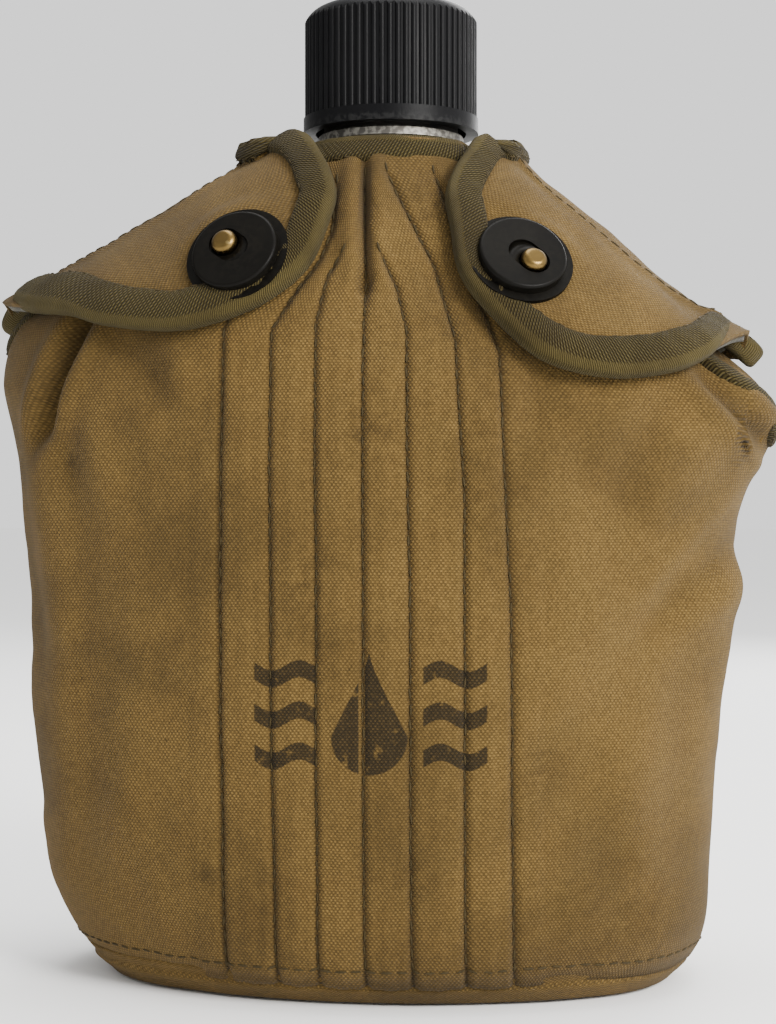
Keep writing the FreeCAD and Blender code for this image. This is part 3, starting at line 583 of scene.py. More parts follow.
def coverNormal(turn, height):
    step, rise = math.radians(1.5), 1.5 * mm
    round_ = coverPoint(turn + step, height) - coverPoint(turn - step, height)
    up = coverPoint(turn, height + rise) - coverPoint(turn, height - rise)
    normal = round_.cross(up)
    normal.normalize()
    return normal


# distance around the cover from the front, for every surveyed height and turn
frontColumn = len(turns) // 2
spotsX = survey["middle"][0] + reach * np.sin(turns)[None, :]
spotsY = survey["middle"][1] - reach * np.cos(turns)[None, :]
steps = np.hypot(np.diff(spotsX, axis=1), np.diff(spotsY, axis=1))
around = np.concatenate([np.zeros((len(heights), 1)), np.cumsum(steps, axis=1)], axis=1)
around = around - around[:, frontColumn:frontColumn + 1]


def turnAt(distance, height):
    row = min(max((height - heights[0]) / survey["heightStep"], 0), len(heights) - 1.001)
    j = int(row)
    low = np.interp(distance, around[j], turns)
    high = np.interp(distance, around[j + 1], turns)
    return float(low + (high - low) * (row - j))


def aroundAt(turn, height):
    row = min(max((height - heights[0]) / survey["heightStep"], 0), len(heights) - 1.001)
    j = int(row)
    low = np.interp(turn, turns, around[j])
    high = np.interp(turn, turns, around[j + 1])
    return float(low + (high - low) * (row - j))


def aroundOfX(x, height):
    # the front distance at which the cover stands at that x
    row = min(max((height - heights[0]) / survey["heightStep"], 0), len(heights) - 1)
    j = int(row)
    front = slice(frontColumn - 50, frontColumn + 51)
    return float(np.interp(x, spotsX[j, front], around[j, front]))


print("cover surveyed", round(float(reach.min()), 4), round(float(reach.max()), 4))


def newPiece(name, bm, finish, slotName):
    bmesh.ops.recalc_face_normals(bm, faces=bm.faces)
    mesh = bpy.data.meshes.new(name)
    bm.to_mesh(mesh)
    bm.free()
    mesh.polygons.foreach_set("use_smooth", [True] * len(mesh.polygons))
    mesh.materials.append(finishes[finish])
    piece = bpy.data.objects.new(name, mesh)
    bpy.context.collection.objects.link(piece)
    return piece


def clothGrid(columns, rows, place, clothSize, shadeAndDirt=None):
    # a grid laid onto a surface: place(across, up) from 0 to 1, its cloth map in metres
    bm = bmesh.new()
    bmesh.ops.create_grid(bm, x_segments=columns, y_segments=rows, size=0.5)
    uv = bm.loops.layers.uv.new("cloth")
    # a float layer that darkens the canvas: painted shade, and real dirt where a piece has smudges
    tone = bm.verts.layers.float.new("shadeAndDirt")
    flat = {}
    for vert in bm.verts:
        across, up = vert.co.x + 0.5, vert.co.y + 0.5
        flat[vert] = (across, up)
        vert.co = place(across, up)
        vert[tone] = shadeAndDirt(across, up, vert.co) if shadeAndDirt else 0.0
    for face in bm.faces:
        for loop in face.loops:
            across, up = flat[loop.vert]
            loop[uv].uv = clothSize(across, up, loop.vert.co)
    return bm


def thicken(bm, thickness, centre=(0, 0, 90 * mm)):
    # a wall behind the face side, closed round every open edge
    bmesh.ops.recalc_face_normals(bm, faces=bm.faces)
    bm.normal_update()
    facing = sum((face.calc_center_median() - Vector(centre)).dot(face.normal) for face in bm.faces)
    if facing < 0:
        bmesh.ops.reverse_faces(bm, faces=bm.faces)
        bm.normal_update()
    shift = {tuple(vert.co): vert.normal * thickness for vert in bm.verts}
    made = bmesh.ops.extrude_face_region(bm, geom=bm.faces[:], use_keep_orig=True)
    for item in made["geom"]:
        if isinstance(item, bmesh.types.BMVert):
            item.co -= shift[tuple(item.co)]


def cutHole(bm, centre, axis, radius):
    # the cloth within that distance of the axis is taken out
    gone = []
    for face in bm.faces:
        gap = face.calc_center_median() - centre
        if abs(gap.dot(axis)) < 8 * mm and (gap - axis * gap.dot(axis)).length < radius:
            gone.append(face)
    bmesh.ops.delete(bm, geom=gone, context="FACES")


# front panel

front = {"thickness": 1.1 * mm, "columns": 240, "rows": 190, "bottom": 5.2 * mm,
         "grooveDepth": 0.75 * mm, "grooveWidth": 0.75 * mm, "pucker": 0.22 * mm,
         "stitch": 3.1 * mm, "hem": 4.3 * mm, "lineShares": [0.30 + 0.4 * k / 6 for k in range(7)]}
# the sewn lines as (height, x) in mm, from the collar or the dart down to the bottom seam
# set by hand and partly by a scratch program, not read off the CAD
sewnLines = [
    [(178, -13.5), (165, -18), (150, -26), (138, -30.2), (83, -30.3), (7, -29.8)],
    [(178, -8.0), (171, -8.5), (159, -9.1), (153, -11.2), (145, -16.5), (138, -20.4), (83, -19.7),
     (7, -19.1)],
    [(178, -3.8), (162, -3.6), (154.6, -6.3), (149, -9.4), (139.4, -11.2), (83, -10.3),
     (6, -10.4)],
    [(178, -3.2), (171, -2.9), (148, -1.4), (139, -1.4), (83, -0.8), (5, -0.8)],
    [(178, -1.4), (160, -1.2), (151, 2.7), (146.7, 5.0), (137.7, 7.3), (83, 8.6), (5, 8.7)],
    [(178, 1.2), (172, 1.6), (165.5, 5), (155.6, 10.2), (151, 12.6), (135.7, 17.1), (103, 19.4),
     (6, 19.4)],
    [(178, 10.0), (172, 11.2), (168.5, 12.9), (150, 20), (133.5, 26), (83, 28.5), (7, 29)],
]
lineStarts = [150, 172, 156, 174, 156, 174, 174]


def lineX(line, height):
    high = [h * mm for h, _ in line][::-1]
    far = [x * mm for _, x in line][::-1]
    return float(np.interp(height, high, far))


seamTurns = {"left": -1.59, "right": 1.59}
knotShares = [0.0] + front["lineShares"] + [1.0]
knotCache = {}


def knotSpots(height):
    # distance around the cover of the side seams and the sewn lines at one height
    key = round(height, 5)
    if key not in knotCache:
        left = aroundAt(seamTurns["left"], height)
        right = aroundAt(seamTurns["right"], height)
        spots = [aroundOfX(lineX(line, height), height) for line in sewnLines]
        spots = np.array([left] + spots + [right])
        knotCache[key] = np.maximum.accumulate(spots + np.arange(len(spots)) * 1e-6)
    return knotCache[key]


def shareSpot(share, height):
    # columns crowd beside the sewn lines so that the grooves there are well shaped
    spots = knotSpots(height)
    for k in range(len(knotShares) - 1):
        if share <= knotShares[k + 1] + 1e-9:
            break
    part = (share - knotShares[k]) / (knotShares[k + 1] - knotShares[k])
    if 0 < k < len(knotShares) - 2:
        part -= 0.11 * math.sin(2 * math.pi * part)
    return spots[k] + (spots[k + 1] - spots[k]) * part


def columnTurn(share, height):
    return turnAt(shareSpot(share, height), height)


def measureTops(treeNames, turnOf, highest):
    # how high a CAD panel reaches in each column
    trees = treeOf(*treeNames)
    shares = np.linspace(0, 1, 161)
    found = []
    for share in shares:
        height = highest
        while height > 110 * mm:
            turn = turnOf(share, height)
            if castIn(trees, turn, height) > coverRadius(turn, height, plainReach) - 2.5 * mm:
                break
            height -= 0.5 * mm
        found.append(height)
    found = np.array(found)
    found[0], found[-1] = found[1], found[-2]
    return shares, np.convolve(np.pad(found, 2, "edge"), np.ones(5) / 5, "valid")


frontTops = measureTops(["canvas_front"], columnTurn, 180.4 * mm)


def topOf(share):
    return float(np.interp(share, *frontTops))


print("front panel top from", round(min(frontTops[1]), 4), "to", round(max(frontTops[1]), 4))


def bump(value, centre, width):
    return math.exp(-((value - centre) / width) ** 2)


def ease(value, low, high):
    part = max(0.0, min(1.0, (value - low) / (high - low)))
    return part * part * (3 - 2 * part)


def rolling(x, z, scale, seed):
    return noise.noise(Vector((x / scale, z / scale, seed)))


def besideFold(x, z, start, end):
    # distance from a fold line, signed positive above or right of it, and how far along it is
    ax, az = start[0] * mm, start[1] * mm
    bx, bz = end[0] * mm, end[1] * mm
    length = math.hypot(bx - ax, bz - az)
    ux, uz = (bx - ax) / length, (bz - az) / length
    along = ((x - ax) * ux + (z - az) * uz) / length
    return (x - ax) * uz - (z - az) * ux, along


# folds as start, end, depth, width and softness of the ends, all but the last in mm
folds = [
    ((-60, 146), (-74, 117), 5.0, 2.2, 0.25),
    ((-70, 122), (-63, 98), 1.6, 4.5, 0.4),
    ((-62, 112), (-60, 30), 0.9, 5.0, 0.3),
    ((-80, 112), (-72, 60), 1.2, 4.0, 0.35),
    ((-55, 138), (-40, 122), 1.3, 4.0, 0.4),
    ((67, 132), (84, 113), 3.2, 2.4, 0.3),
    ((84, 106), (58, 79), 2.6, 3.2, 0.3),
    ((62, 128), (50, 100), 1.2, 4.5, 0.4),
    ((64, 78), (62, 30), 1.0, 5.0, 0.35),
    ((36, 130), (30, 112), 0.9, 3.5, 0.4),
    ((-36, 138), (-33, 118), 0.8, 3.0, 0.4),
]


# old smudges as x, height, spread and strength, the first three in mm
smudges = [(1, 118, 6, 0.55), (-11, 87, 5, 0.55), (-65, 112, 4, 0.5), (34, 48, 4, 0.35),
           (-33, 28, 3, 0.6), (8, 137, 7, 0.3), (24, 116, 14, 0.28), (-38, 72, 10, 0.2),
           (26, 98, 10, 0.22), (52, 14, 12, 0.3), (-6, 64, 8, 0.2), (-20, 20, 9, 0.25),
           (10, 32, 8, 0.25), (-9, 160, 5, 0.4), (9, 163, 5, 0.3), (14, 140, 9, 0.25)]


def frontRelief(spot, share, height):
    # how far the cloth stands in or out of the smooth cover, and how dark it is: painted shade in folds,
    # sewn grooves, the dart and the bottom seam, and real dirt in smudges
    x, z = spot.x, spot.z
    free = ease(abs(x), 26 * mm, 42 * mm)
    lift = (0.7 + 1.5 * free) * mm * rolling(x, z, 26 * mm, 3.1)
    lift += (0.35 + 0.35 * free) * mm * rolling(x, z, 10 * mm, 7.7)
    lift += 0.12 * mm * rolling(x, z, 4 * mm, 1.3)
    dirtAndShade = 0.0
    for start, end, depth, width, soft in folds:
        gap, along = besideFold(x, z, start, end)
        strength = ease(along, -soft, soft) * (1 - ease(along, 1 - soft, 1 + soft))
        if abs(gap) < 5 * width * mm and strength > 0:
            lift -= strength * depth * mm * bump(gap, 0, width * mm)
            lift += 0.35 * strength * depth * mm * (bump(gap, 2 * width * mm, width * mm)
                                                    + bump(gap, -2 * width * mm, width * mm))
            # painted shade: the fold's crease is darkened by its depth
            dirtAndShade = max(dirtAndShade, 0.10 * depth * strength * bump(gap, 0, 0.7 * width * mm))
    gap, along = besideFold(x, z, (84, 112), (56, 80))
    if x > 40 * mm:
        lift += 2.6 * mm * ease(gap, 2 * mm, -3 * mm) * ease(along, 1.15, 0.6) * ease(
            x, 48 * mm, 66 * mm)
    if spot.y < -12 * mm:
        spots, here = knotSpots(height), shareSpot(share, height)
        for index, start in enumerate(lineStarts):
            gap = abs(here - spots[index + 1])
            if z > start * mm or gap > 6 * mm:
                continue
            fade = ease(start * mm - z, 0, 5 * mm)
            fold = bump(gap, 0, front["grooveWidth"])
            wave = 0.5 + 0.5 * math.sin(2 * math.pi * z / front["stitch"] + 1.7 * index)
            lift -= fade * front["grooveDepth"] * fold * (0.7 + 0.3 * wave)
            lift += fade * front["pucker"] * bump(gap, 1.7 * mm, 1.2 * mm) * (0.3 + wave)
            lift += 0.25 * mm * fade * bump(gap, 4.6 * mm, 2.6 * mm)
            # painted shade in the groove of each sewn line
            dirtAndShade = max(dirtAndShade, fade * (0.62 * bump(gap, 0, 0.33 * mm)
                                     + 0.16 * bump(gap, 0, 1.2 * mm)))
        spread = abs(here - spots[4])
        tall = ease(z, 143 * mm, 150 * mm) * (1 - ease(z, 172 * mm, 178 * mm))
        lift -= 1.5 * mm * tall * bump(spread, 0, 1.1 * mm)
        lift += 0.9 * mm * tall * bump(spread, 3.0 * mm, 1.8 * mm)
        pit = bump(z, 147.5 * mm, 2.4 * mm) * bump(spread, 0, 1.6 * mm)
        lift -= 1.8 * mm * pit
        # painted shade in the dart's pit and along its groove
        dirtAndShade = max(dirtAndShade, 0.55 * pit, 0.5 * tall * bump(spread, 0, 0.5 * mm))
    covered = ease(z, 130 * mm, 146 * mm) * ease(abs(x), 16 * mm, 24 * mm)
    if lift > 0:
        lift *= 1 - 0.7 * covered
    # real dirt: the old smudges
    if spot.y < 0:
        for centre, level, spread, strength in smudges:
            near = bump(math.hypot(x - centre * mm, (z - level * mm) * 0.7), 0, spread * mm)
            if near > 0.02:
                ragged = 0.5 + 0.9 * rolling(x, z, 3.2 * mm, 9.0) + 0.7 * rolling(
                    x, z, 1.3 * mm, 4.0)
                dirtAndShade = max(dirtAndShade, strength * near * max(0.0, ragged))
    seam = bump(z, front["bottom"], 1.8 * mm)
    lift -= 0.7 * mm * seam
    # painted shade in the dip of the bottom seam
    dirtAndShade = max(dirtAndShade, 0.3 * bump(z, front["bottom"], 1.3 * mm))
    deepest = (2.2 + 3.2 * ease(abs(x), 52 * mm, 64 * mm) * ease(z, 50 * mm, 90 * mm)) * mm
    return max(lift, -deepest) * ease(min(share, 1 - share), -0.01, 0.045), dirtAndShade


def frontSpot(share, height):
    turn = columnTurn(share, height)
    spot = coverPoint(turn, height)
    lift, dirtAndShade = frontRelief(spot, share, height)
    return spot, coverNormal(turn, height), lift, dirtAndShade


def widthAround(height, low, high):
    return aroundAt(high, height) - aroundAt(low, height)


def buildFront():
    dirtAndShadeAt = {}

    def place(share, up):
        height = front["hem"] + (topOf(share) - front["hem"]) * up
        spot, normal, lift, dirtAndShade = frontSpot(share, height)
        dirtAndShadeAt[(round(share, 5), round(up, 5))] = dirtAndShade
        return spot + normal * lift

    # painted shade in folds, grooves and seams and real smudges, handed to the cloth's float layer
    def shadeAndDirt(share, up, spot):
        return dirtAndShadeAt[(round(share, 5), round(up, 5))]

    def clothSize(share, up, spot):
        return (aroundAt(columnTurn(share, girthHeight), girthHeight), spot.z * 1.06)

    bm = clothGrid(front["columns"], front["rows"], place, clothSize, shadeAndDirt)
    thicken(bm, front["thickness"])
    piece = newPiece("front_panel", bm, "canvasFront", "canvas")
    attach(piece, "canteen")
    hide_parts("canvas_front")
    widthAround(girthHeight, *seamTurns.values())


def buildLining(name, columns, rows, topAt, low, spotOf, cadNode):
    # felt behind the canvas, following all its folds
    def place(share, up):
        return spotOf(share, low + (topAt(share) - 1.2 * mm - low) * up)

    bm = clothGrid(columns, rows, place, lambda share, up, spot: (spot.x, spot.z))
    thicken(bm, lining["thickness"])
    piece = newPiece(name, bm, "felt", "wool_felt")
    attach(piece, "canteen")
    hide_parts(cadNode)
    widthAround(girthHeight, *seamTurns.values())


def liningSpot(share, height):
    spot, normal, lift, _ = frontSpot(share, height)
    return spot + normal * (lift - lining["depth"])


lining = {"thickness": 1.2 * mm, "depth": 1.3 * mm}
buildFront()
buildLining("front_lining", 120, 90, topOf, front["bottom"], liningSpot, "felt_front")
print("front panel sewn")


# stitches: short rounded threads set end to end along a row

stitch = {"pitch": 3.1 * mm, "long": 1.15 * mm, "thick": 0.26 * mm, "rings": 6, "turns": 6}


def addStitch(bm, spot, along, normal, size=1.0):
    made = bmesh.ops.create_uvsphere(bm, u_segments=stitch["turns"], v_segments=stitch["rings"],
                                     radius=1.0)
    side = along.cross(normal).normalized()
    frameAt = Matrix((side, normal, along)).transposed().to_4x4()
    frameAt.translation = spot
    scale = Matrix.Diagonal((stitch["thick"] * size, stitch["thick"] * 0.8 * size,
                             stitch["long"] * size, 1))
    bmesh.ops.transform(bm, matrix=frameAt @ scale, verts=made["verts"])


def stitchRow(bm, points, normals, rng, pitch=None, size=1.0):
    pitch = pitch or stitch["pitch"]
    run = 0.0
    want = 0.5 * pitch
    for a, b, normal in zip(points, points[1:], normals):
        step = (b - a).length
        while run + step >= want and step > 0:
            spot = a.lerp(b, (want - run) / step)
            along = (b - a).normalized()
            side = along.cross(normal)
            spot = spot + side * rng.uniform(-0.12, 0.12) * mm
            tilt = (along + side * rng.uniform(-0.12, 0.12)).normalized()
            addStitch(bm, spot, tilt, normal, size * rng.uniform(0.9, 1.08))
            want += pitch * rng.uniform(0.94, 1.06)
        run += step


def finishStitches(name, bm, body):
    piece = newPiece(name, bm, "thread", "canvas")
    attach(piece, body)
    return piece


def buildFrontStitches():
    rng = random.Random(4)
    bm = bmesh.new()
    for share, start in zip(front["lineShares"], lineStarts):
        points, normals = [], []
        height = start * mm
        while height > front["bottom"] + 2 * mm:
            spot, normal, lift, _ = frontSpot(share, height)
            points.append(spot + normal * (lift + 0.10 * mm))
            normals.append(normal)
            height -= 1.2 * mm
        stitchRow(bm, points, normals, rng)
    for low in (9.0 * mm,):
        points, normals = [], []
        for k in range(300):
            spot, normal, lift, _ = frontSpot(0.02 + 0.96 * k / 299, low)
            points.append(spot + normal * (lift + 0.06 * mm))
            normals.append(normal)
        stitchRow(bm, points, normals, rng)
    finishStitches("front_stitches", bm, "canteen")


buildFrontStitches()


# back panel and bottom

back = {"thickness": 1.1 * mm, "columns": 150, "rows": 120, "bottom": 5.2 * mm,
        "hem": 4.3 * mm, "start": 1.50, "tucked": 1.5 * mm}


def wrapped(turn):
    return turn - 2 * math.pi if turn > math.pi else turn


def backTurn(share, height=0.0):
    return wrapped(back["start"] + (2 * math.pi - 2 * back["start"]) * share)


backTops = measureTops(["canvas_back"], backTurn, 177.4 * mm)


def backSpot(share, height):
    turn = backTurn(share)
    spot = coverPoint(turn, height)
    lift = 1.0 * mm * rolling(spot.x, spot.z, 26 * mm, 13.1)
    lift += 0.4 * mm * rolling(spot.x, spot.z, 9 * mm, 5.2)
    lift -= 0.7 * mm * bump(height, back["bottom"], 1.8 * mm)
    lift *= ease(min(share, 1 - share), 0, 0.06)
    lift -= back["tucked"] * (1 - ease(min(share, 1 - share), 0.022, 0.036))
    return spot + coverNormal(turn, height) * lift


def buildBack():
    def place(share, up):
        top = float(np.interp(share, *backTops))
        return backSpot(share, back["hem"] + (top - back["hem"]) * up)

    def clothSize(share, up, spot):
        return (share * 0.25, spot.z * 1.06)

    bm = clothGrid(back["columns"], back["rows"], place, clothSize)
    thicken(bm, back["thickness"])
    piece = newPiece("back_panel", bm, "canvas", "canvas")
    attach(piece, "canteen")
    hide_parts("canvas_back")
    widthAround(girthHeight, *seamTurns.values())


bottom = {"rings": 26, "columns": 200, "top": 7.0 * mm, "thickness": 1.0 * mm,
          "tucked": 1.5 * mm}


def buildBottom(name, finish, slotName, cadNode, inset):
    # a dished sheet: up the sides to the bottom seam, flat underneath
    def place(across, inward):
        turn = -math.pi + 2 * math.pi * across
        wall = min(1.0, inward * 4)
        height = bottom["top"] * (1 - wall) + 0.25 * mm + inset
        spot = coverPoint(turn, max(height, survey["low"]))
        spot.z = height
        lift = 0.5 * mm * rolling(spot.x, spot.y + spot.z, 14 * mm, 2.2)
        out = Vector((spot.x - survey["middle"][0], spot.y, 0))
        far = out.length
        lift -= inset + bottom["tucked"] * ease(height, 3.8 * mm, 4.8 * mm)
        if wall < 1.0:
            round_ = 3.2 * mm * (1 - math.sqrt(max(0.0, 1 - wall ** 2)))
            scale = (far + lift - round_) / far
        else:
            scale = (far - 3.2 * mm) / far * (1 - (inward - 0.25) / 0.75)
        return Vector((survey["middle"][0] + out.x * scale, out.y * scale, height))

    def clothSize(across, inward, spot):
        return (spot.x, spot.y - spot.z)

    bm = clothGrid(bottom["columns"], bottom["rings"], place, clothSize)
    bmesh.ops.remove_doubles(bm, verts=bm.verts, dist=1e-6)
    thicken(bm, bottom["thickness"])
    piece = newPiece(name, bm, finish, slotName)
    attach(piece, "canteen")
    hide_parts(cadNode)


def backLiningSpot(share, height):
    return backSpot(share, height) - coverNormal(backTurn(share), height) * lining["depth"]


def backTopAt(share):
    return float(np.interp(share, *backTops))


buildBack()
buildLining("back_lining", 80, 60, backTopAt, back["bottom"], backLiningSpot, "felt_back")
buildBottom("bottom_panel", "canvas", "canvas", "canvas_bottom", 0.0)
buildBottom("bottom_lining", "felt", "wool_felt", "felt_bottom", 1.3 * mm)
print("back and bottom sewn")


# tape folded over an edge: a flat rounded tube that swallows the edge of the cloth

tapeForm = {"ringPoints": 24, "squareness": 0.5, "step": 1.2 * mm,
            "sewnAt": 0.125}


def resample(points, step):
    spots = [Vector(p) for p in points]
    run = [0.0]
    for a, b in zip(spots, spots[1:]):
        run.append(run[-1] + (b - a).length)
    count = max(8, int(run[-1] / step))
    want = np.linspace(0, run[-1], count + 1)
    return [Vector([float(np.interp(w, run, [p[k] for p in spots])) for k in range(3)])
            for w in want]


def smoothLine(points, rounds=3):
    for _ in range(rounds):
        points = [points[0]] + [(a + 2 * b + c) / 4 for a, b, c in
                                zip(points, points[1:], points[2:])] + [points[-1]]
    return points


def turnOf(spot):
    return math.atan2(spot.x - survey["middle"][0], -(spot.y - survey["middle"][1]))


def onCover(spot, lift):
    turn = turnOf(spot)
    return coverPoint(turn, spot.z, lift)


def buildTape(name, edge, side, lifts, width, body, cadNode, seed, over=0.7 * mm):
    # side is +1 when the cloth lies to the left of the edge's direction, seen from outside
    edge = resample(smoothLine(resample(edge, tapeForm["step"])), tapeForm["step"])
    count = len(edge)
    tangents = [(edge[min(k + 1, count - 1)] - edge[max(k - 1, 0)]).normalized()
                for k in range(count)]
    normals = [coverNormal(turnOf(spot), spot.z) for spot in edge]
    inwards = [(normal.cross(tangent) * side).normalized()
               for normal, tangent in zip(normals, tangents)]
    inwards = smoothLine(inwards, 4)
    low, high = lifts

    def place(along, ring):
        k = min(int(round(along * (count - 1))), count - 1)
        angle = 2 * math.pi * ring
        flatness = tapeForm["squareness"]
        c, s = math.cos(angle), math.sin(angle)
        across = math.copysign(abs(c) ** flatness, c)
        up = math.copysign(abs(s) ** flatness, s)
        wide = width + 0.5 * mm * noise.noise(Vector((k * 0.13, seed, 0)))
        inset = -over + wide * (across + 1) / 2
        puff = 1 + 0.12 * noise.noise(Vector((k * 0.45, seed, across * 2)))
        thick = (high - low) / 2
        crown = 0.88 + 0.12 * math.cos(across * math.pi / 2)
        lift = (low + high) / 2 + up * thick * crown * puff
        base = edge[k] + inwards[k] * inset
        spot = onCover(base, lift) if base.z < 181 * mm else base + normals[k] * lift
        return spot

    def clothSize(along, ring, spot):
        c = math.cos(2 * math.pi * ring)
        across = math.copysign(abs(c) ** tapeForm["squareness"], c)
        return (along * count * tapeForm["step"], width * (across + 1) / 2)

    bm = clothGrid(count - 1, tapeForm["ringPoints"], place, clothSize)
    bmesh.ops.remove_doubles(bm, verts=bm.verts, dist=1e-6)
    bmesh.ops.holes_fill(bm, edges=[e for e in bm.edges if e.is_boundary],
                         sides=tapeForm["ringPoints"] + 2)
    piece = newPiece(name, bm, "tape", "binding_tape")
    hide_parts(cadNode)
    sewn = bmesh.new()
    rng = random.Random(seed)
    row = [place(k / (count - 1), tapeForm["sewnAt"]) for k in range(count)]
    stitchRow(sewn, row, normals, rng, 2.7 * mm, 0.72)
    thread = newPiece(name + "_stitches", sewn, "thread", "binding_tape")
    for made in (piece, thread):
        if isinstance(body, tuple):
            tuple(foldLine["start"])
            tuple(foldLine["end"])
            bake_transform(made)
        else:
            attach(made, body)


def frontEdge(low, high, count=60):
    points = []
    for k in range(count + 1):
        share = low + (high - low) * k / count
        height = topOf(share)
        points.append(coverPoint(columnTurn(share, height), height))
    return points


def shareOfX(x):
    # the column in which the panel's top edge passes that x
    best = min(np.linspace(0.2, 0.8, 241),
               key=lambda share: abs(coverPoint(columnTurn(share, topOf(share)),
                                                topOf(share)).x - x))
    return float(best)


bodyTape = {"lifts": (-4.0 * mm, 0.8 * mm), "width": 6.2 * mm}
collarShares = (shareOfX(-16 * mm), shareOfX(17.5 * mm))
buildTape("collar_tape", frontEdge(*collarShares), -1, bodyTape["lifts"], bodyTape["width"],
          "canteen", "collar_binding", 1.0)
buildTape("armhole_tape_left", frontEdge(0.0, collarShares[0] - 0.004), -1, bodyTape["lifts"],
          bodyTape["width"], "canteen", "armhole_binding_left", 2.0)
buildTape("armhole_tape_right", frontEdge(collarShares[1] + 0.004, 1.0), -1,
          bodyTape["lifts"], bodyTape["width"], "canteen", "armhole_binding_right", 3.0)


def backEdge():
    points = []
    for k in range(61):
        share = 0.02 + 0.96 * k / 60
        top = float(np.interp(share, *backTops))
        if top > 174 * mm:
            points.append(coverPoint(backTurn(share), top))
    return points


buildTape("back_neck_tape", backEdge(), -1, bodyTape["lifts"], bodyTape["width"], "canteen",
          "back_neck_binding", 4.0)
print("body tapes folded")


# flaps: cloth and lining from the bound edge over the ridge to the back

foldLine = {"start": (0, 5 * mm, 0.15), "end": (0, -13 * mm, 0.15)}
flap = {"columns": 110, "rows": 70, "clothLift": 4.7 * mm, "clothThickness": 1.1 * mm,
        "liningLift": 3.2 * mm, "liningThickness": 1.3 * mm, "tapeLifts": (1.0 * mm, 6.5 * mm),
        "tapeWidth": 7.2 * mm, "backY": 6 * mm, "stitchInset": 0.62,
        "liningTrim": 0.045}
# the flaps' outlines as (x, z) in mm, nearly all made by a scratch program, not read off the CAD
flapEdges = {
    "left": [(-23, 181), (-13.1, 176.1), (-8.6, 166.7), (-9.9, 158.4), (-14, 148.5),
             (-24.2, 141.4), (-38.5, 138), (-54.9, 139.5), (-67.2, 142.2)],
    "right": [(24.4, 181), (17, 176.1), (14, 166.7), (15.4, 158), (18.1, 147.2), (26.6, 137.1),
              (34.2, 130.9), (46.6, 127.8), (58.6, 128.7), (70.9, 132.2)],
}
earEnds = {"left": (math.radians(-93), 141.5 * mm), "right": (math.radians(93), 133.5 * mm)}
ridgeHeights = {"left": [181, 178, 171, 161, 151, 142.5],
                "right": [181, 178, 170, 158, 146, 135]}


def turnOfX(x, height):
    return turnAt(aroundOfX(x, height), height)


def turnOfY(sign, y, height):
    row = min(max(int(round((height - heights[0]) / survey["heightStep"])), 0), len(heights) - 1)
    part = slice(frontColumn + 25, frontColumn + 90) if sign > 0 else slice(
        frontColumn - 90, frontColumn - 25)
    ys, ts = spotsY[row, part], turns[part]
    return float(np.interp(y, ys, ts)) if sign > 0 else float(np.interp(y, ys[::-1], ts[::-1]))


def curve(values, count):
    # a smooth run through the values, evenly parted
    spots = np.linspace(0, 1, len(values))
    fine = np.linspace(0, 1, count)
    out = []
    for t in fine:
        k = min(int(t * (len(values) - 1)), len(values) - 2)
        part = t * (len(values) - 1) - k
        p = [np.array(values[min(max(k + d, 0), len(values) - 1)], float) for d in (-1, 0, 1, 2)]
        out.append(0.5 * (2 * p[1] + (p[2] - p[0]) * part
                          + (2 * p[0] - 5 * p[1] + 4 * p[2] - p[3]) * part ** 2
                          + (3 * p[1] - p[0] - 3 * p[2] + p[3]) * part ** 3))
    return out


def discOf(node):
    # centre, outward axis and low face of a flat round part
    spots = np.array([node.matrix_world @ v.co for v in node.data.vertices])
    centre = (spots.max(0) + spots.min(0)) / 2
    axis = np.linalg.svd(spots - spots.mean(0), full_matrices=False)[2][2]
    axis = axis if axis[1] < 0 else -axis
    centre = spots.mean(0)
    return Vector(centre), Vector(axis), float(((spots - centre) @ axis).min())


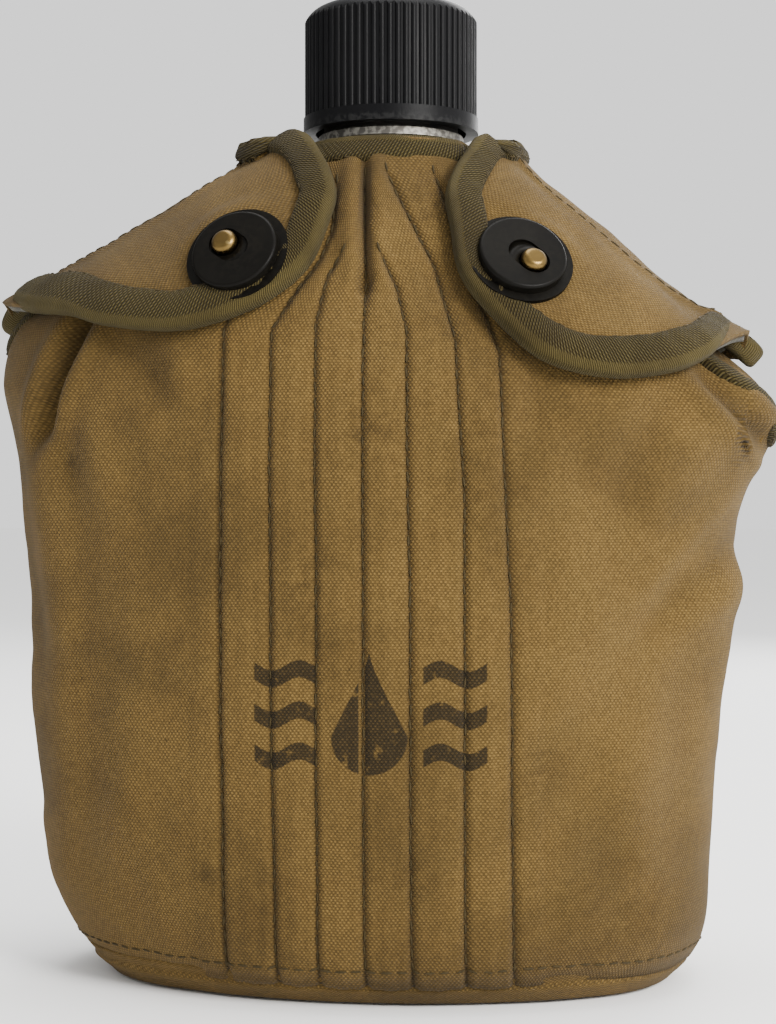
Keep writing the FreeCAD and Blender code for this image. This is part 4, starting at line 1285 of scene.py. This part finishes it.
def buildFlap(side):
    sign = -1 if side == "left" else 1
    marks = [(turnOfX(x * mm, min(z, 180.8) * mm), min(z, 180.8) * mm)
             for x, z in flapEdges[side]] + [earEnds[side]]
    edge = curve(marks, 400)
    real = [coverPoint(t, h) for t, h in edge]
    run = np.concatenate([[0], np.cumsum([(b - a).length for a, b in zip(real, real[1:])])])
    run = run / run[-1]
    crest = curve([(h,) for h in ridgeHeights[side]], 400)

    def flat(s, t):
        # turn and height at s along the edge and t from the edge to the back
        te = float(np.interp(s, run, [e[0] for e in edge]))
        he = float(np.interp(s, run, [e[1] for e in edge]))
        hb = float(crest[int(s * 399)][0]) * mm
        tb = turnOfY(sign, flap["backY"], hb)
        return te + (tb - te) * t, he + (hb - he) * t

    ring = nodes["socket_ring_" + side]
    ringCentre, ringAxis, ringLow = discOf(ring)
    post = discOf(nodes["stud_" + side])[0]

    def place(s, t, lift):
        turn, height = flat(s, t)
        spot = coverPoint(turn, height)
        normal = coverNormal(turn, height)
        over = ease(spot.y, -2 * mm, 6 * mm)
        low = lift * (1 - over) + (lift - flap["clothLift"] + 1.5 * mm) * over
        roll = 0.8 * mm * rolling(spot.x, spot.z - spot.y, 17 * mm, 5.0 + sign)
        roll += 0.25 * mm * rolling(spot.x, spot.z - spot.y, 6 * mm, 1.0)
        tuck = 0.9 * mm * bump(t, flap["stitchInset"], 0.035) - 0.35 * mm * bump(
            t, flap["stitchInset"], 0.012)
        ear = 3.5 * mm * ease(s, 0.75, 1.0)
        spot = spot + normal * (low + roll * ease(t, 0, 0.2) + tuck) + Vector((0, 0, ear)) * (
            1 - over)
        gap = spot - ringCentre
        high = gap.dot(ringAxis)
        near = 1 - ease((gap - ringAxis * high).length, 11.5 * mm, 17 * mm)
        target = ringLow - 0.05 * mm + lift - flap["clothLift"]
        return spot + ringAxis * (target - high) * near

    spans = []
    for s in np.linspace(0, 1, 41):
        line = [place(s, t, 0.0) for t in np.linspace(0, 1, 12)]
        spans.append(sum((b - a).length for a, b in zip(line, line[1:])))
    middle = [place(s, 0.5, 0.0) for s in np.linspace(0, 1, 60)]
    runAlong = sum((b - a).length for a, b in zip(middle, middle[1:]))

    def clothSize(s, t, spot):
        return (s * runAlong, (1 - t) * float(np.interp(s, np.linspace(0, 1, 41), spans)))

    body = "flap_" + side
    for name, lift, thickness, finish, slotName, cad in (
            ("flap_cloth_" + side, flap["clothLift"], flap["clothThickness"], "canvasFine",
             "canvas", "flap_canvas_" + side),
            ("flap_lining_" + side, flap["liningLift"], flap["liningThickness"], "felt",
             "wool_felt", "flap_felt_" + side)):
        trim = 0.0 if finish == "canvasFine" else flap["liningTrim"]
        # the last function paints shade in a thin line along the dip of the sewn row
        bm = clothGrid(flap["columns"], flap["rows"],
                       lambda s, t: place(trim + (1 - 2 * trim) * s, trim + (1 - trim) * t, lift),
                       clothSize, lambda s, t, spot: 0.5 * bump(t, flap["stitchInset"], 0.008))
        cutHole(bm, post, ringAxis, 4.2 * mm)
        thicken(bm, thickness, (sign * 30 * mm, 0, 120 * mm))
        piece = newPiece(name, bm, finish, slotName)
        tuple(foldLine["start"])
        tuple(foldLine["end"])
        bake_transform(piece)
        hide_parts(cad)
        sheetAreas[cad] = sum(face.area for face in piece.data.polygons) / 2
    rim = [place(0.0, t, 0.0) for t in np.linspace(0.7, 0.08, 10)]
    rim += [place(s, 0.0, 0.0) for s in np.linspace(0, 1, 160)]
    rim += [place(1.0, t, 0.0) for t in np.linspace(0.1, 0.75, 8)]
    buildTape("flap_tape_" + side, rim, sign, flap["tapeLifts"], flap["tapeWidth"],
              ("canteen", body), "flap_binding_" + side, 6.0 + sign)
    rng = random.Random(8 + sign)
    bm = bmesh.new()
    points = [place(s, flap["stitchInset"], flap["clothLift"] + 0.12 * mm)
              for s in np.linspace(0.12, 0.97, 120)]
    normals = [coverNormal(turnOf(p), min(p.z, 180 * mm)) for p in points]
    stitchRow(bm, points, normals, rng)
    piece = newPiece("flap_stitches_" + side, bm, "thread", "canvas")
    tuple(foldLine["start"])
    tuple(foldLine["end"])
    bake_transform(piece)


leaf = {"inner": 2.95 * mm, "outer": 5.85 * mm, "thickness": 0.3 * mm, "below": 0.62 * mm}


def buildLeaf(side):
    # the thin black leaf inside a snap socket, close round the stud's head
    post = discOf(nodes["stud_" + side])[0]
    disc = nodes["socket_disc_" + side]
    centre, axis, _ = discOf(disc)
    spots = np.array([v.co for v in disc.data.vertices]) - np.array(centre)
    top = float((spots @ np.array(axis)).max())
    start = post + axis * ((centre - post).dot(axis) + top - leaf["below"])
    side0 = axis.orthogonal().normalized()
    bm = bmesh.new()
    corners = [bm.verts.new(start + side0 * radius - axis * drop) for radius, drop in (
        (leaf["inner"], 0), (leaf["outer"], 0), (leaf["outer"], leaf["thickness"]),
        (leaf["inner"], leaf["thickness"]))]
    edges = [bm.edges.new((a, b)) for a, b in zip(corners, corners[1:] + corners[:1])]
    bmesh.ops.spin(bm, geom=corners + edges, cent=start, axis=axis, angle=2 * math.pi, steps=48,
                   use_merge=True)
    piece = newPiece("socket_leaf_" + side, bm, "enamel", "blackened_brass")
    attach(piece, "flap_" + side)


buildFlap("left")
buildFlap("right")
buildLeaf("left")
buildLeaf("right")
print("flaps sewn")


# hanger webbing: a strap sewn up the back, turned over into a loop round the hook's bar

webbing = {"low": 98 * mm, "high": 136 * mm, "width": 17.6 * mm, "thickness": 1.4 * mm,
           "loopRadius": 3.35 * mm, "ringPoints": 20, "turnSteps": 22}


def buildWebbing():
    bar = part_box("belt_hook")
    barY, barZ = bar[0][1] + 1.6 * mm, bar[1][2] - 1.6 * mm
    path = []
    for height in np.linspace(webbing["low"], webbing["high"], 30):
        spot = coverPoint(math.pi, float(height), 1.1 * mm)
        path.append((spot.y, spot.z))
    radius = webbing["loopRadius"]
    for k in range(webbing["turnSteps"] + 1):
        angle = math.radians(200 - 250 * k / webbing["turnSteps"])
        path.append((barY + radius * math.cos(angle), barZ + radius * math.sin(angle)))
    for height in np.linspace(webbing["high"] - 1 * mm, webbing["low"] + 18 * mm, 14):
        spot = coverPoint(math.pi, float(height), 2.7 * mm)
        path.append((spot.y, spot.z))
    spine = resample(smoothLine([Vector((0, y, z)) for y, z in path], 2), 1.0 * mm)
    count = len(spine)

    def place(along, ring):
        k = min(int(round(along * (count - 1))), count - 1)
        tangent = (spine[min(k + 1, count - 1)] - spine[max(k - 1, 0)]).normalized()
        normal = Vector((1, 0, 0)).cross(tangent)
        angle = 2 * math.pi * ring
        c, s = math.cos(angle), math.sin(angle)
        across = math.copysign(abs(c) ** 0.35, c) * webbing["width"] / 2
        up = math.copysign(abs(s) ** 0.6, s) * webbing["thickness"] / 2
        return spine[k] + Vector((across, 0, 0)) + normal * up

    bm = clothGrid(count - 1, webbing["ringPoints"], place,
                   lambda along, ring, spot: (along * count * mm, spot.x + 20 * mm))
    bmesh.ops.remove_doubles(bm, verts=bm.verts, dist=1e-6)
    bmesh.ops.holes_fill(bm, edges=[e for e in bm.edges if e.is_boundary],
                         sides=webbing["ringPoints"] + 2)
    piece = newPiece("hanger_strap", bm, "webbing", "webbing")
    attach(piece, "canteen")
    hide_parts("hanger_webbing")
    rng = random.Random(31)
    sewn = bmesh.new()
    for rows in ((-7 * mm, webbing["low"] + 1.5 * mm, -7 * mm, webbing["high"] - 6 * mm),
                 (7 * mm, webbing["low"] + 1.5 * mm, 7 * mm, webbing["high"] - 6 * mm)):
        x = rows[0]
        line = []
        for height in np.linspace(rows[1], rows[3], 30):
            turn = math.pi - math.atan2(x, 0.037)
            lift = 1.9 * mm if height < webbing["low"] + 18 * mm else 3.5 * mm
            line.append(coverPoint(turn if turn < math.pi else turn - 2 * math.pi,
                                   float(height), lift))
        stitchRow(sewn, line, [Vector((0, 1, 0))] * len(line), rng)
    thread = newPiece("hanger_stitches", sewn, "thread", "webbing")
    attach(thread, "canteen")


buildWebbing()
print("hanger strap sewn")


cadNow = ("felt_front", "felt_back", "felt_bottom")
for name in cadNow:
    nodes[name].data.materials.clear()
    nodes[name].data.materials.append(finishes["felt"])
for name, node in nodes.items():
    if name not in cadFinishes and name not in cadNow:
        node.data.materials.clear()
        node.data.materials.append(finishes["tape" if "binding" in name else "canvas"])
